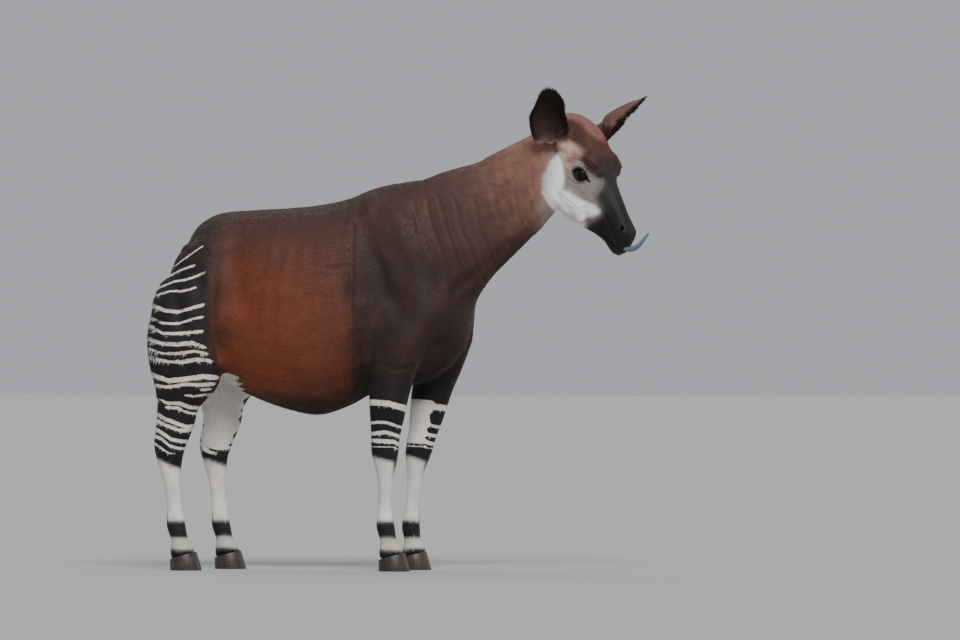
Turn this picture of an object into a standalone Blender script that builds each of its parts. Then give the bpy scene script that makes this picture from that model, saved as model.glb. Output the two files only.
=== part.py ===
"""Okapi cow, life size, standing with her head lowered and turned to her right.

Units are metres and +Z is up. She faces +X, with her left side towards +Y and her soles at z = 0.
"""

import math

import bmesh
import bpy
import numpy as np
from mathutils import Matrix, Vector

# Gap left between two pieces that touch
GAP = 0.0003

# Corners round a lofted form, and steps between two of its rows
SIDES = 28
STEPS = 4

# Trunk, from the rump to the chest: x, top, bottom, half width
TRUNK = (
    (-0.458, 1.195, 0.990, 0.040),
    (-0.440, 1.280, 0.900, 0.100),
    (-0.400, 1.345, 0.820, 0.158),
    (-0.320, 1.390, 0.750, 0.204),
    (-0.200, 1.409, 0.680, 0.224),
    (-0.050, 1.417, 0.625, 0.252),
    (0.080, 1.429, 0.603, 0.260),
    (0.200, 1.454, 0.640, 0.242),
    (0.300, 1.494, 0.690, 0.212),
    (0.420, 1.518, 0.712, 0.180),
    (0.540, 1.520, 0.745, 0.160),
    (0.640, 1.420, 0.830, 0.130),
    (0.690, 1.250, 0.930, 0.080),
)
WIDEST = 0.44
TRUNK_POWER = 2.15

# Neck, from inside the shoulders to inside the skull: x, y, z, half depth, half width
NECK = (
    (0.500, 0.000, 1.225, 0.285, 0.150),
    (0.647, -0.004, 1.338, 0.238, 0.122),
    (0.796, -0.014, 1.426, 0.192, 0.098),
    (0.897, -0.026, 1.499, 0.170, 0.086),
    (0.991, -0.040, 1.575, 0.142, 0.080),
    (1.075, -0.050, 1.656, 0.112, 0.072),
)

# Head: the poll, how far it turns to her right and how steeply it hangs
POLL = Vector((1.119, -0.050, 1.785))
HEAD_TURN = math.radians(28.0)
HEAD_DROP = math.radians(57.3)
# Along the head from the poll: distance, top, bottom, half width, pinch of the lower half
HEAD = (
    (-0.030, -0.045, -0.160, 0.048, 0.0),
    (0.020, 0.006, -0.202, 0.070, 0.0),
    (0.090, 0.036, -0.234, 0.083, 0.0),
    (0.160, 0.041, -0.258, 0.086, 0.05),
    (0.220, 0.032, -0.276, 0.085, 0.1),
    (0.270, 0.016, -0.280, 0.076, 0.15),
    (0.330, 0.004, -0.266, 0.060, 0.15),
    (0.390, -0.005, -0.220, 0.050, 0.1),
    (0.450, -0.011, -0.184, 0.044, 0.0),
    (0.500, -0.014, -0.160, 0.042, 0.0),
    (0.540, -0.024, -0.154, 0.040, 0.0),
    (0.566, -0.048, -0.148, 0.033, 0.0),
    (0.586, -0.080, -0.132, 0.018, 0.0),
)
HEAD_WIDEST = 0.62
EYE = Vector((0.245, 0.063, -0.070))
EYE_RADIUS = 0.0285
EYE_OPENING = (0.062, 0.046)
EYE_SLANT = math.radians(-31.0)
EYE_AHEAD = math.radians(18.0)
LID = 0.0045

# Legs, from the body down: height, x, distance from the middle, half length, half width
FORELEG = (
    (1.060, 0.480, 0.120, 0.145, 0.070),
    (0.930, 0.452, 0.140, 0.128, 0.074),
    (0.810, 0.415, 0.143, 0.100, 0.070),
    (0.700, 0.390, 0.140, 0.086, 0.060),
    (0.600, 0.380, 0.137, 0.073, 0.052),
    (0.530, 0.373, 0.135, 0.062, 0.047),
    (0.465, 0.370, 0.134, 0.058, 0.049),
    (0.415, 0.370, 0.133, 0.046, 0.043),
    (0.350, 0.372, 0.132, 0.034, 0.033),
    (0.250, 0.371, 0.132, 0.031, 0.029),
    (0.170, 0.372, 0.132, 0.041, 0.037),
    (0.110, 0.386, 0.132, 0.036, 0.035),
    (0.065, 0.397, 0.132, 0.047, 0.043),
    (0.030, 0.404, 0.132, 0.047, 0.043),
)
HIND_LEG = (
    (1.180, -0.345, 0.115, 0.130, 0.080),
    (1.050, -0.392, 0.135, 0.156, 0.092),
    (0.930, -0.424, 0.150, 0.154, 0.092),
    (0.850, -0.425, 0.155, 0.152, 0.086),
    (0.780, -0.420, 0.156, 0.146, 0.078),
    (0.710, -0.420, 0.154, 0.128, 0.067),
    (0.635, -0.452, 0.150, 0.088, 0.055),
    (0.560, -0.466, 0.147, 0.080, 0.048),
    (0.490, -0.487, 0.144, 0.070, 0.047),
    (0.430, -0.489, 0.142, 0.054, 0.042),
    (0.350, -0.480, 0.141, 0.039, 0.034),
    (0.250, -0.470, 0.140, 0.034, 0.030),
    (0.170, -0.463, 0.140, 0.042, 0.038),
    (0.110, -0.446, 0.140, 0.037, 0.036),
    (0.065, -0.435, 0.140, 0.048, 0.044),
    (0.030, -0.428, 0.140, 0.048, 0.044),
)
# Her left legs stand apart from the right ones: height and shift forward
FORE_SHIFT = ((1.060, 0.070), (0.800, 0.118), (0.560, 0.094), (0.400, 0.064), (0.000, 0.026))
HIND_SHIFT = ((1.180, 0.000), (0.900, 0.020), (0.710, 0.085), (0.600, 0.115), (0.000, 0.112))

# Muscle over the skeleton: centre, radii, pitch in degrees. Each has a twin on the other side
MUSCLES = (
    ((0.450, 0.112, 1.150), (0.165, 0.082, 0.290), -18.0),
    ((0.545, 0.098, 1.010), (0.125, 0.080, 0.150), 20.0),
    ((0.400, 0.132, 0.950), (0.125, 0.076, 0.140), 0.0),
    ((-0.320, 0.100, 1.090), (0.190, 0.112, 0.230), 10.0),
    ((-0.468, 0.116, 0.965), (0.104, 0.072, 0.190), -4.0),
)
CHEEK = ((0.215, 0.046, -0.176), (0.150, 0.036, 0.084))
JAW = ((0.345, 0.026, -0.180), (0.090, 0.022, 0.034))
BROW = ((0.236, 0.053, -0.004), (0.060, 0.036, 0.034))
MUZZLE = ((0.520, 0.018, -0.055), (0.045, 0.028, 0.036))

# Fineness of the flesh: voxel, smoothing and triangles kept
VOXEL = 0.009
SMOOTHING = 9
FLESH_TRIANGLES = 5200

# Where the flesh is parted, as outlines seen from her side, and how far in the cut reaches
HEAD_CUT = ((1.080, 1.950), (0.937, 1.100), (1.700, 1.100), (1.700, 1.950))
NECK_CUT = ((0.440, 1.850), (0.780, 0.930), (1.500, 0.930), (1.500, 1.850))
FORELEG_CUT = ((0.292, 0.812), (0.700, 0.800), (0.700, -0.100), (0.292, -0.100))
HIND_LEG_CUT = ((-0.160, 0.580), (-0.262, 0.800), (-0.350, 1.060), (-0.750, 1.020), (-0.750, -0.100), (-0.160, -0.100))
FORELEG_INNER = 0.068
HIND_LEG_INNER = 0.062
REACH = 0.450

# Hooves
HOOF_LENGTH = 0.124
HOOF_WIDTH = 0.100
CORONET_LENGTH = 0.104
CORONET_WIDTH = 0.090
CORONET_FRONT = 0.074
CORONET_HEEL = 0.044
HOOF_SLIT = 0.005

# Ears, in the upright frame of the head: root, where the ear points and where its cup opens
RIGHT_EAR = ((0.026, 0.125, -0.104), (0.245, 0.447, 0.860), (0.451, 0.770, -0.450))
LEFT_EAR = ((0.046, 0.130, -0.086), (0.290, 0.690, 0.660), (0.640, 0.365, -0.663))
# The leaf, from its lobe to its tip: distance along, front edge, rear edge, depth of the cup
EAR_LEAF = (
    (-0.026, -0.056, 0.090, 0.008),
    (-0.010, -0.008, 0.112, 0.030),
    (0.020, 0.030, 0.122, 0.050),
    (0.060, 0.028, 0.125, 0.065),
    (0.100, 0.024, 0.121, 0.058),
    (0.140, 0.024, 0.098, 0.045),
    (0.180, 0.014, 0.080, 0.028),
    (0.202, -0.006, 0.064, 0.014),
    (0.212, -0.024, 0.046, 0.006),
)
EAR_WALL = 0.005
EAR_ACROSS = 10
EAR_STEPS = 2
EAR_SEAT = Vector((-0.020, 0.012, -0.040))
EAR_STEM_LEAN = Vector((1.0, 0.0, -0.25)).normalized()
EAR_STEM = (0.042, 0.028, 0.022)
EAR_STEM_REACH = (0.045, 0.036)

# Tail
TAIL_PATH = ((-0.469, 1.238), (-0.495, 1.196), (-0.522, 1.120), (-0.538, 1.040), (-0.546, 0.980))
TAIL_BOSS = (-0.405, 1.250)
TAIL_RADIUS = 0.017
TAIL_TIP_RADIUS = 0.009
TUFT_LOCKS = 16
TUFT_LENGTH = 0.150
TUFT_WIDTH = 0.013
TUFT_THICKNESS = 0.005

# Mouth and tongue, along the head as for HEAD
MOUTH_FRONT = (0.610, -0.085)
MOUTH_MIDDLE = (0.530, -0.120)
MOUTH_CORNER = (0.452, -0.136)
MOUTH_GAP = 0.003
TONGUE = ((0.505, -0.126), (0.550, -0.109), (0.585, -0.080), (0.601, -0.042), (0.598, -0.005), (0.588, 0.042))
TONGUE_WIDTH = 0.015
TONGUE_THICKNESS = 0.011
NOSTRIL = Vector((0.520, 0.032, -0.042))


def clear_scene():
    for old in list(bpy.data.objects):
        bpy.data.objects.remove(old, do_unlink=True)


def new_collection(name):
    group = bpy.data.collections.new(name)
    bpy.context.scene.collection.children.link(group)
    return group


def new_object(name, mesh_builder, group):
    """An object from a bmesh that a function fills, its faces turned outwards."""
    bm = bmesh.new()
    mesh_builder(bm)
    bmesh.ops.recalc_face_normals(bm, faces=bm.faces)
    mesh = bpy.data.meshes.new(name)
    bm.to_mesh(mesh)
    bm.free()
    obj = bpy.data.objects.new(name, mesh)
    group.objects.link(obj)
    return obj


def smooth_rows(rows, steps=STEPS):
    """More rows on a smooth curve through the given ones, every column alike."""
    rows = np.array(rows, float)
    padded = np.vstack([2 * rows[0] - rows[1], rows, 2 * rows[-1] - rows[-2]])
    found = []
    for i in range(1, len(padded) - 2):
        before, start, end, after = padded[i - 1 : i + 3]
        for step in range(steps):
            t = step / steps
            found.append(
                0.5
                * (
                    2 * start
                    + (end - before) * t
                    + (2 * before - 5 * start + 4 * end - after) * t**2
                    + (3 * start - before - 3 * end + after) * t**3
                )
            )
    found.append(rows[-1])
    return [row.tolist() for row in found]


def oval(centre, side, up, half_side, above, below, power=2.0, pinch=0.0, count=SIDES):
    """A closed ring of points, which may differ above and below its centre."""
    ring = []
    for step in range(count):
        turn = 2 * math.pi * step / count
        across, rise = math.cos(turn), math.sin(turn)
        wide = half_side * math.copysign(abs(across) ** (2 / power), across)
        high = math.copysign(abs(rise) ** (2 / power), rise) * (above if rise > 0 else below)
        if rise < 0:
            wide *= 1 - pinch * abs(rise)
        ring.append(centre + side * wide + up * high)
    return ring


def fill_loft(bm, rings):
    """Joins rings of equal count into one closed skin."""
    loops = [[bm.verts.new(point) for point in ring] for ring in rings]
    for near, far in zip(loops, loops[1:]):
        for i, vert in enumerate(near):
            after = (i + 1) % len(near)
            bm.faces.new((vert, near[after], far[after], far[i]))
    bm.faces.new(loops[0])
    bm.faces.new(loops[-1])


def loft(name, rings, group):
    return new_object(name, lambda bm: fill_loft(bm, rings), group)


def head_matrix():
    """Carries the head's own frame, with its nose along +X, into the body's frame."""
    return (
        Matrix.Translation(POLL)
        @ Matrix.Rotation(-HEAD_TURN, 4, "Z")
        @ Matrix.Rotation(HEAD_DROP, 4, "Y")
    )


def upright_matrix():
    """The frame at the poll that turns with the head but stays upright."""
    return Matrix.Translation(POLL) @ Matrix.Rotation(-HEAD_TURN, 4, "Z")


def ellipsoid(name, centre, radii, pitch, group, frame=Matrix.Identity(4)):
    shape = Matrix.Translation(Vector(centre)) @ Matrix.Rotation(math.radians(pitch), 4, "Y")
    shape = frame @ shape @ Matrix.Diagonal((*radii, 1.0))

    def build(bm):
        bmesh.ops.create_uvsphere(bm, u_segments=20, v_segments=12, radius=1.0, matrix=shape)

    return new_object(name, build, group)


def trunk(group):
    rings = []
    for x, top, bottom, half_width in smooth_rows(TRUNK):
        middle = bottom + WIDEST * (top - bottom)
        centre = Vector((x, 0, middle))
        rings.append(
            oval(centre, Vector((0, 1, 0)), Vector((0, 0, 1)), half_width, top - middle, middle - bottom, TRUNK_POWER)
        )
    return loft("trunk_form", rings, group)


def neck(group):
    rows = smooth_rows(NECK)
    rings = []
    for i, (x, y, z, half_depth, half_width) in enumerate(rows):
        before = Vector(rows[max(i - 1, 0)][:3])
        after = Vector(rows[min(i + 1, len(rows) - 1)][:3])
        along = (after - before).normalized()
        side = Vector((0, 0, 1)).cross(along).normalized()
        up = along.cross(side)
        rings.append(oval(Vector((x, y, z)), side, up, half_width, half_depth, half_depth, 2.1))
    return loft("neck_form", rings, group)


def head(group):
    frame = head_matrix()
    rings = []
    for along, top, bottom, half_width, pinch in smooth_rows(HEAD):
        middle = bottom + HEAD_WIDEST * (top - bottom)
        ring = oval(
            Vector((along, 0, middle)),
            Vector((0, 1, 0)),
            Vector((0, 0, 1)),
            half_width,
            top - middle,
            middle - bottom,
            2.3,
            pinch,
        )
        rings.append([frame @ point for point in ring])
    return loft("head_form", rings, group)


def shift_at(height, table):
    heights = [row[0] for row in reversed(table)]
    shifts = [row[1] for row in reversed(table)]
    return float(np.interp(height, heights, shifts))


def leg(name, rows, side, shifts, group):
    rings = []
    for z, x, apart, half_length, half_width in smooth_rows(rows):
        forward = shift_at(z, shifts) if side > 0 else 0.0
        centre = Vector((x + forward, side * apart, z))
        rings.append(
            oval(centre, Vector((1, 0, 0)), Vector((0, 1, 0)), half_length, half_width, half_width, 2.1, 0.0, 20)
        )
    return loft(name, rings, group)


def muscles(group):
    for side in (-1, 1):
        for (x, y, z), radii, pitch in MUSCLES:
            ellipsoid("muscle_form", (x, side * y, z), radii, pitch, group)
        for (x, y, z), radii in (CHEEK, JAW, BROW, MUZZLE):
            ellipsoid("face_form", (x, side * y, z), radii, 0.0, group, head_matrix())


def joined(name, sources, group):
    """One mesh object from several, which are then removed."""
    bm = bmesh.new()
    for source in sources:
        bm.from_mesh(source.data)
        bpy.data.objects.remove(source, do_unlink=True)
    mesh = bpy.data.meshes.new(name)
    bm.to_mesh(mesh)
    bm.free()
    obj = bpy.data.objects.new(name, mesh)
    group.objects.link(obj)
    return obj


def apply_modifiers(obj):
    graph = bpy.context.evaluated_depsgraph_get()
    mesh = bpy.data.meshes.new_from_object(obj.evaluated_get(graph))
    obj.modifiers.clear()
    obj.data = mesh


def flesh(group):
    """The whole body as one smooth skin: the forms melted together, then made coarse."""
    forms = new_collection("forms")
    trunk(forms)
    neck(forms)
    head(forms)
    for side in (-1, 1):
        leg("foreleg_form", FORELEG, side, FORE_SHIFT, forms)
        leg("hind_leg_form", HIND_LEG, side, HIND_SHIFT, forms)
    muscles(forms)
    body = joined("flesh", list(forms.objects), group)
    bpy.data.collections.remove(forms)
    melt = body.modifiers.new("Melt", "REMESH")
    melt.mode = "VOXEL"
    melt.voxel_size = VOXEL
    ease = body.modifiers.new("Ease", "SMOOTH")
    ease.factor = 0.5
    ease.iterations = SMOOTHING
    apply_modifiers(body)
    body.modifiers.new("Whole", "TRIANGULATE")
    apply_modifiers(body)
    coarse = body.modifiers.new("Coarse", "DECIMATE")
    coarse.use_collapse_triangulate = True
    coarse.ratio = FLESH_TRIANGLES / len(body.data.polygons)
    apply_modifiers(body)
    return body


def boolean(obj, tool, operation, solver="EXACT"):
    cut = obj.modifiers.new(operation.title(), "BOOLEAN")
    cut.operation = operation
    cut.solver = solver
    cut.object = tool
    apply_modifiers(obj)


def grown(outline, gap):
    """The outline with each side moved outwards by the gap."""
    count = len(outline)
    turning = sum(
        outline[i][0] * outline[(i + 1) % count][1] - outline[(i + 1) % count][0] * outline[i][1]
        for i in range(count)
    )
    sign = 1 if turning > 0 else -1
    found = []
    for i in range(count):
        here = Vector(outline[i])
        first = (here - Vector(outline[i - 1])).normalized()
        second = (Vector(outline[(i + 1) % count]) - here).normalized()
        out_first = Vector((first.y, -first.x)) * sign
        out_second = Vector((second.y, -second.x)) * sign
        bisector = (out_first + out_second).normalized()
        found.append(here + bisector * gap / bisector.dot(out_first))
    return [tuple(point) for point in found]


def prism(name, outline, low_y, high_y, group):
    """The outline in the side view, drawn out between two distances from the middle."""

    def build(bm):
        base = bm.faces.new([bm.verts.new((x, low_y, z)) for x, z in outline])
        made = bmesh.ops.extrude_face_region(bm, geom=[base])
        moved = [item for item in made["geom"] if isinstance(item, bmesh.types.BMVert)]
        bmesh.ops.translate(bm, verts=moved, vec=(0, high_y - low_y, 0))

    return new_object(name, build, group)


def keep_largest(obj):
    """Keeps the largest closed surface of a mesh, counted across its plain edges, and drops the rest."""
    bm = bmesh.new()
    bm.from_mesh(obj.data)
    bmesh.ops.triangulate(bm, faces=bm.faces)
    seen = set()
    pieces = []
    for start in bm.faces:
        if start in seen:
            continue
        piece = {start}
        ends = [start]
        while ends:
            plain = [edge for edge in ends.pop().edges if len(edge.link_faces) == 2]
            for edge in plain:
                for face in edge.link_faces:
                    if face not in piece:
                        piece.add(face)
                        ends.append(face)
        seen |= piece
        pieces.append(piece)
    largest = max(pieces, key=len)
    loose = [face for face in bm.faces if face not in largest]
    bmesh.ops.delete(bm, geom=loose, context="FACES")
    bm.to_mesh(obj.data)
    bm.free()


def part_off(body, name, outline, low_y, high_y, group, cutters):
    """Parts the flesh inside a prism from the rest, with the gap between them."""
    inner = prism(name + "_cut", outline, low_y, high_y, cutters)
    outer = prism(name + "_gap", grown(outline, GAP), low_y - GAP, high_y + GAP, cutters)
    piece = bpy.data.objects.new(name, body.data.copy())
    group.objects.link(piece)
    boolean(piece, inner, "INTERSECT")
    boolean(body, outer, "DIFFERENCE")
    for tool in (inner, outer):
        bpy.data.objects.remove(tool, do_unlink=True)
    keep_largest(piece)
    keep_largest(body)
    return piece


def mirrored_range(side, inner):
    """Low and high y of a cut on one side."""
    return (inner, REACH) if side > 0 else (-REACH, -inner)


def coronet_height(x, centre_x):
    """Height of the top of a hoof, which slopes down to its heel."""
    part = (x - centre_x) / CORONET_LENGTH + 0.5
    return CORONET_HEEL + (CORONET_FRONT - CORONET_HEEL) * part


def hoof_ring(centre_x, centre_y, length, width, push, top):
    ring = []
    for step in range(24):
        turn = 2 * math.pi * step / 24
        x = centre_x + push + length / 2 * math.cos(turn)
        toe = 1 - 0.25 * max(math.cos(turn), 0) ** 2
        y = centre_y + width / 2 * toe * math.copysign(abs(math.sin(turn)) ** 0.8, math.sin(turn))
        z = coronet_height(x, centre_x) if top else 0.0
        ring.append(Vector((x, y, z)))
    return ring


def hooves(place, centre_x, side, centre_y, group):
    """The two hooves of a foot, parted by the slit between them."""
    sole = hoof_ring(centre_x, centre_y, HOOF_LENGTH, HOOF_WIDTH, 0.012, False)
    top = hoof_ring(centre_x, centre_y, CORONET_LENGTH, CORONET_WIDTH, 0.0, True)
    for claw, facing in (("outer", side), ("inner", -side)):

        def build(bm):
            fill_loft(bm, [sole, top])
            cut = bmesh.ops.bisect_plane(
                bm,
                geom=bm.verts[:] + bm.edges[:] + bm.faces[:],
                plane_co=(0, centre_y + facing * HOOF_SLIT / 2, 0),
                plane_no=(0, -facing, 0),
                clear_outer=True,
            )
            edges = [item for item in cut["geom_cut"] if isinstance(item, bmesh.types.BMEdge)]
            bmesh.ops.holes_fill(bm, edges=edges, sides=0)

        name = "hoof_" + place + "_" + claw
        new_object(name, build, group)


def cut_foot(obj, centre_x, centre_y, cutters):
    """Ends a leg at the coronet, the gap above its hooves."""
    reach = 0.2
    line = [
        (centre_x - reach, coronet_height(centre_x - reach, centre_x) + GAP),
        (centre_x + reach, coronet_height(centre_x + reach, centre_x) + GAP),
        (centre_x + reach, -reach),
        (centre_x - reach, -reach),
    ]
    tool = prism("foot_cut", line, centre_y - reach / 2, centre_y + reach / 2, cutters)
    boolean(obj, tool, "DIFFERENCE")
    bpy.data.objects.remove(tool, do_unlink=True)
    keep_largest(obj)


def ear_frame(side, ear_place):
    """Frame of an ear: +X along it, +Z out of its cup, at its root."""
    root, along, facing = (Vector((v[0], side * v[1], v[2])) for v in ear_place)
    along.normalize()
    facing = (facing - along * facing.dot(along)).normalized()
    turn = Matrix((along, facing.cross(along), facing)).transposed().to_4x4()
    return upright_matrix() @ Matrix.Translation(root) @ turn


def leaf_point(row, part, side):
    """A point of the leaf between its front edge, at 0, and its rear edge, at 1."""
    along, front, rear, depth = row
    across = -front + (front + rear) * part
    return Vector((along, -side * across, -depth * (1 - abs(2 * part - 1) ** 2.4)))


def leaf_walls(side):
    """The leaf's two faces as grids of points, closer together at the rims."""
    rows = smooth_rows(EAR_LEAF, EAR_STEPS)
    middle = [[leaf_point(row, j / EAR_ACROSS, side) for j in range(EAR_ACROSS + 1)] for row in rows]
    last = len(rows) - 1
    grids = [[], []]
    for i in range(last + 1):
        for sign, grid in zip((-1, 1), grids):
            line = []
            for j in range(EAR_ACROSS + 1):
                along = middle[min(i + 1, last)][j] - middle[max(i - 1, 0)][j]
                across = middle[i][min(j + 1, EAR_ACROSS)] - middle[i][max(j - 1, 0)]
                rim = 1 - 0.6 * abs(2 * j / EAR_ACROSS - 1) ** 6
                offset = along.cross(across).normalized() * (sign * EAR_WALL / 2 * rim)
                line.append(middle[i][j] + offset)
            grid.append(line)
    return grids


def stem(name, frame, side, ends, radii, group):
    """A stout cone along the ear's stem, between two distances from its seat."""
    seat = Vector((EAR_SEAT.x, -side * EAR_SEAT.y, EAR_SEAT.z))
    middle = seat + EAR_STEM_LEAN * sum(ends) / 2
    turn = EAR_STEM_LEAN.to_track_quat("Z", "Y").to_matrix().to_4x4()

    def build(bm):
        bmesh.ops.create_cone(
            bm,
            cap_ends=True,
            segments=16,
            radius1=radii[0],
            radius2=radii[1],
            depth=ends[1] - ends[0],
            matrix=frame @ Matrix.Translation(middle) @ turn,
        )

    return new_object(name, build, group)


def ear(name, side, ear_place, group):
    frame = ear_frame(side, ear_place)

    def build(bm):
        grids = [[[bm.verts.new(frame @ p) for p in line] for line in grid] for grid in leaf_walls(side)]
        inner, outer = grids
        last = len(inner) - 1
        for i in range(last):
            for j in range(EAR_ACROSS):
                for grid in grids:
                    bm.faces.new((grid[i][j], grid[i][j + 1], grid[i + 1][j + 1], grid[i + 1][j]))
            for j in (0, EAR_ACROSS):
                bm.faces.new((inner[i][j], inner[i + 1][j], outer[i + 1][j], outer[i][j]))
        for i in (0, last):
            for j in range(EAR_ACROSS):
                bm.faces.new((inner[i][j], inner[i][j + 1], outer[i][j + 1], outer[i][j]))
        bmesh.ops.triangulate(bm, faces=bm.faces)

    leaf = new_object(name, build, group)
    add_to(leaf, stem("stem", frame, side, (GAP, EAR_STEM_REACH[1]), EAR_STEM[1:], group), "UNION")
    keep_largest(leaf)
    return leaf


def ear_boss(side, ear_place, group):
    """The root of an ear on the skull, which ends flat just short of the ear."""
    return stem("ear_boss", ear_frame(side, ear_place), side, (-EAR_STEM_REACH[0], 0.0), EAR_STEM[:2], group)


def ear_gap(side, ear_place, group):
    """The room for an ear's stem where it sinks into the skin of the head."""
    radii = [radius + GAP for radius in EAR_STEM[1:]]
    return stem("ear_gap", ear_frame(side, ear_place), side, (0.0, EAR_STEM_REACH[1]), radii, group)


def tube_rings(points, half_widths, half_thicks, side, count=10):
    """Rings along a path of points, flattened as asked."""
    rings = []
    for i, point in enumerate(points):
        before = points[max(i - 1, 0)]
        after = points[min(i + 1, len(points) - 1)]
        along = (after - before).normalized()
        up = along.cross(side).normalized()
        rings.append(oval(point, side, up, half_widths[i], half_thicks[i], half_thicks[i], 2.0, 0.0, count))
    return rings


def tail_points():
    return [Vector((x, 0, z)) for x, z in smooth_rows(TAIL_PATH, 4)]


def dock(name, extra, group):
    """The tail under its hair, made thicker all round by the extra."""
    points = tail_points()
    radii = [radius + extra for radius in np.linspace(TAIL_RADIUS, TAIL_TIP_RADIUS, len(points))]
    return loft(name, tube_rings(points, radii, radii, Vector((0, 1, 0))), group)


def tail(group):
    points = tail_points()
    whole = dock("tail", 0.0, group)
    locks = new_collection("locks")
    rng = np.random.default_rng(7)
    for i in range(TUFT_LOCKS):
        turn = 2 * math.pi * i / TUFT_LOCKS + rng.uniform(-0.2, 0.2)
        level = (i % 4) * 0.022
        start = points[-1] + Vector((0, 0, 0.03 - level * 0.4 + 0.030))
        out = Vector((math.cos(turn) * 0.7, math.sin(turn), 0))
        length = TUFT_LENGTH * rng.uniform(0.75, 1.0)
        path = []
        for step in range(5):
            t = step / 4
            spread = 0.004 + 0.012 * math.sin(math.pi * min(t, 0.8)) * rng.uniform(0.9, 1.1)
            path.append(start + out * spread + Vector((-0.004 * t, 0, -length * t)))
        widths = [TUFT_WIDTH * w for w in (0.5, 0.9, 1.0, 0.7, 0.12)]
        thicks = [TUFT_THICKNESS * w for w in (0.9, 1.0, 0.9, 0.6, 0.15)]
        side = Vector((-out.y, out.x, 0)).normalized()
        loft("lock", tube_rings(path, widths, thicks, side, 6), locks)
    join = whole.modifiers.new("Locks", "BOOLEAN")
    join.operation = "UNION"
    join.operand_type = "COLLECTION"
    join.collection = locks
    join.solver = "MANIFOLD"
    apply_modifiers(whole)
    for lock in list(locks.objects):
        bpy.data.objects.remove(lock, do_unlink=True)
    bpy.data.collections.remove(locks)
    keep_largest(whole)
    return whole


def tail_boss(group):
    """The dock's root on the rump, which ends just short of the tail."""
    start = Vector((TAIL_PATH[0][0], 0, TAIL_PATH[0][1]))
    along = (Vector((TAIL_PATH[1][0], 0, TAIL_PATH[1][1])) - start).normalized()
    points = [Vector((TAIL_BOSS[0], 0, TAIL_BOSS[1])), start - along * TAIL_RADIUS, start - along * GAP]
    radii = [2.4 * TAIL_RADIUS, 1.4 * TAIL_RADIUS, TAIL_RADIUS]
    return loft("tail_boss", tube_rings(points, radii, radii, Vector((0, 1, 0))), group)


def eye_centre(side):
    return head_matrix() @ Vector((EYE.x, side * EYE.y, EYE.z))


def ball(name, centre, radius, group):
    def build(bm):
        bmesh.ops.create_uvsphere(
            bm, u_segments=18, v_segments=10, radius=radius, matrix=Matrix.Translation(centre)
        )

    return new_object(name, build, group)


def add_to(obj, tool, operation):
    boolean(obj, tool, operation)
    bpy.data.objects.remove(tool, do_unlink=True)


def lens(name, side, length, height, group):
    """The almond of an eye's opening, drawn out sideways from the eye."""
    frame = head_matrix() @ Matrix.Translation(Vector((EYE.x, side * EYE.y, EYE.z)))
    frame = frame @ Matrix.Rotation(-side * EYE_AHEAD, 4, "Z") @ Matrix.Rotation(EYE_SLANT, 4, "Y")
    rings = []
    for depth in (0.006, 0.060):
        ring = []
        for step in range(16):
            turn = 2 * math.pi * step / 16
            x = length / 2 * math.cos(turn)
            z = height / 2 * math.sin(turn) * abs(math.sin(turn)) ** 0.4
            ring.append(frame @ Vector((x, side * depth, z)))
        rings.append(ring)
    return loft(name, rings, group)


def finish_head(obj, group, cutters):
    """Adds lids and ear roots to the parted head, and cuts its sockets, nostrils and mouth."""
    for side, aim in ((-1, RIGHT_EAR), (1, LEFT_EAR)):
        add_to(obj, ear_boss(side, aim, cutters), "UNION")
        add_to(obj, ear_gap(side, aim, cutters), "DIFFERENCE")
        add_to(obj, ball("lid", eye_centre(side), EYE_RADIUS + LID, cutters), "UNION")
        add_to(obj, lens("opening", side, *EYE_OPENING, cutters), "DIFFERENCE")
        add_to(obj, ball("socket", eye_centre(side), EYE_RADIUS + GAP, cutters), "DIFFERENCE")
        nostril = ellipsoid(
            "nostril",
            (NOSTRIL.x, side * NOSTRIL.y, NOSTRIL.z),
            (0.017, 0.012, 0.007),
            35.0,
            cutters,
            head_matrix(),
        )
        add_to(obj, nostril, "DIFFERENCE")
    add_to(obj, mouth_slit(cutters), "DIFFERENCE")
    add_to(obj, tongue("tongue_gap", GAP, cutters), "DIFFERENCE")
    keep_largest(obj)


def mouth_slit(group):
    frame = head_matrix()
    half = MOUTH_GAP / 2
    rows = (MOUTH_CORNER, MOUTH_MIDDLE, MOUTH_FRONT)
    outline = [(x, z + half) for x, z in rows] + [(x, z - half) for x, z in reversed(rows)]

    def build(bm):
        base = bm.faces.new([bm.verts.new(frame @ Vector((x, -0.08, z))) for x, z in outline])
        made = bmesh.ops.extrude_face_region(bm, geom=[base])
        moved = [item for item in made["geom"] if isinstance(item, bmesh.types.BMVert)]
        bmesh.ops.translate(bm, verts=moved, vec=frame.to_3x3() @ Vector((0, 0.16, 0)))

    return new_object("mouth_slit", build, group)


def tongue(name, extra, group):
    frame = head_matrix()
    rows = smooth_rows(TONGUE, 3)
    points = [frame @ Vector((x, 0, z)) for x, z in rows]
    count = len(points)
    swell = [1 - 0.75 * max(i / (count - 1) - 0.55, 0) / 0.45 for i in range(count)]
    widths = [TONGUE_WIDTH * s + extra for s in swell]
    thicks = [TONGUE_THICKNESS * s**0.7 + extra for s in swell]
    side = frame.to_3x3() @ Vector((0, 1, 0))
    if extra:
        along = (points[0] - points[1]).normalized()
        points[0] = points[0] + along * extra
    return loft(name, tube_rings(points, widths, thicks, side), group)


def paint(obj, colour, roughness):
    """A material of its own for each piece."""
    material = bpy.data.materials.new(obj.name)
    material.use_nodes = True
    shader = material.node_tree.nodes["Principled BSDF"]
    shader.inputs["Base Color"].default_value = (*colour, 1.0)
    shader.inputs["Roughness"].default_value = roughness
    shader.inputs["Metallic"].default_value = 0.0
    obj.data.materials.clear()
    obj.data.materials.append(material)


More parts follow.
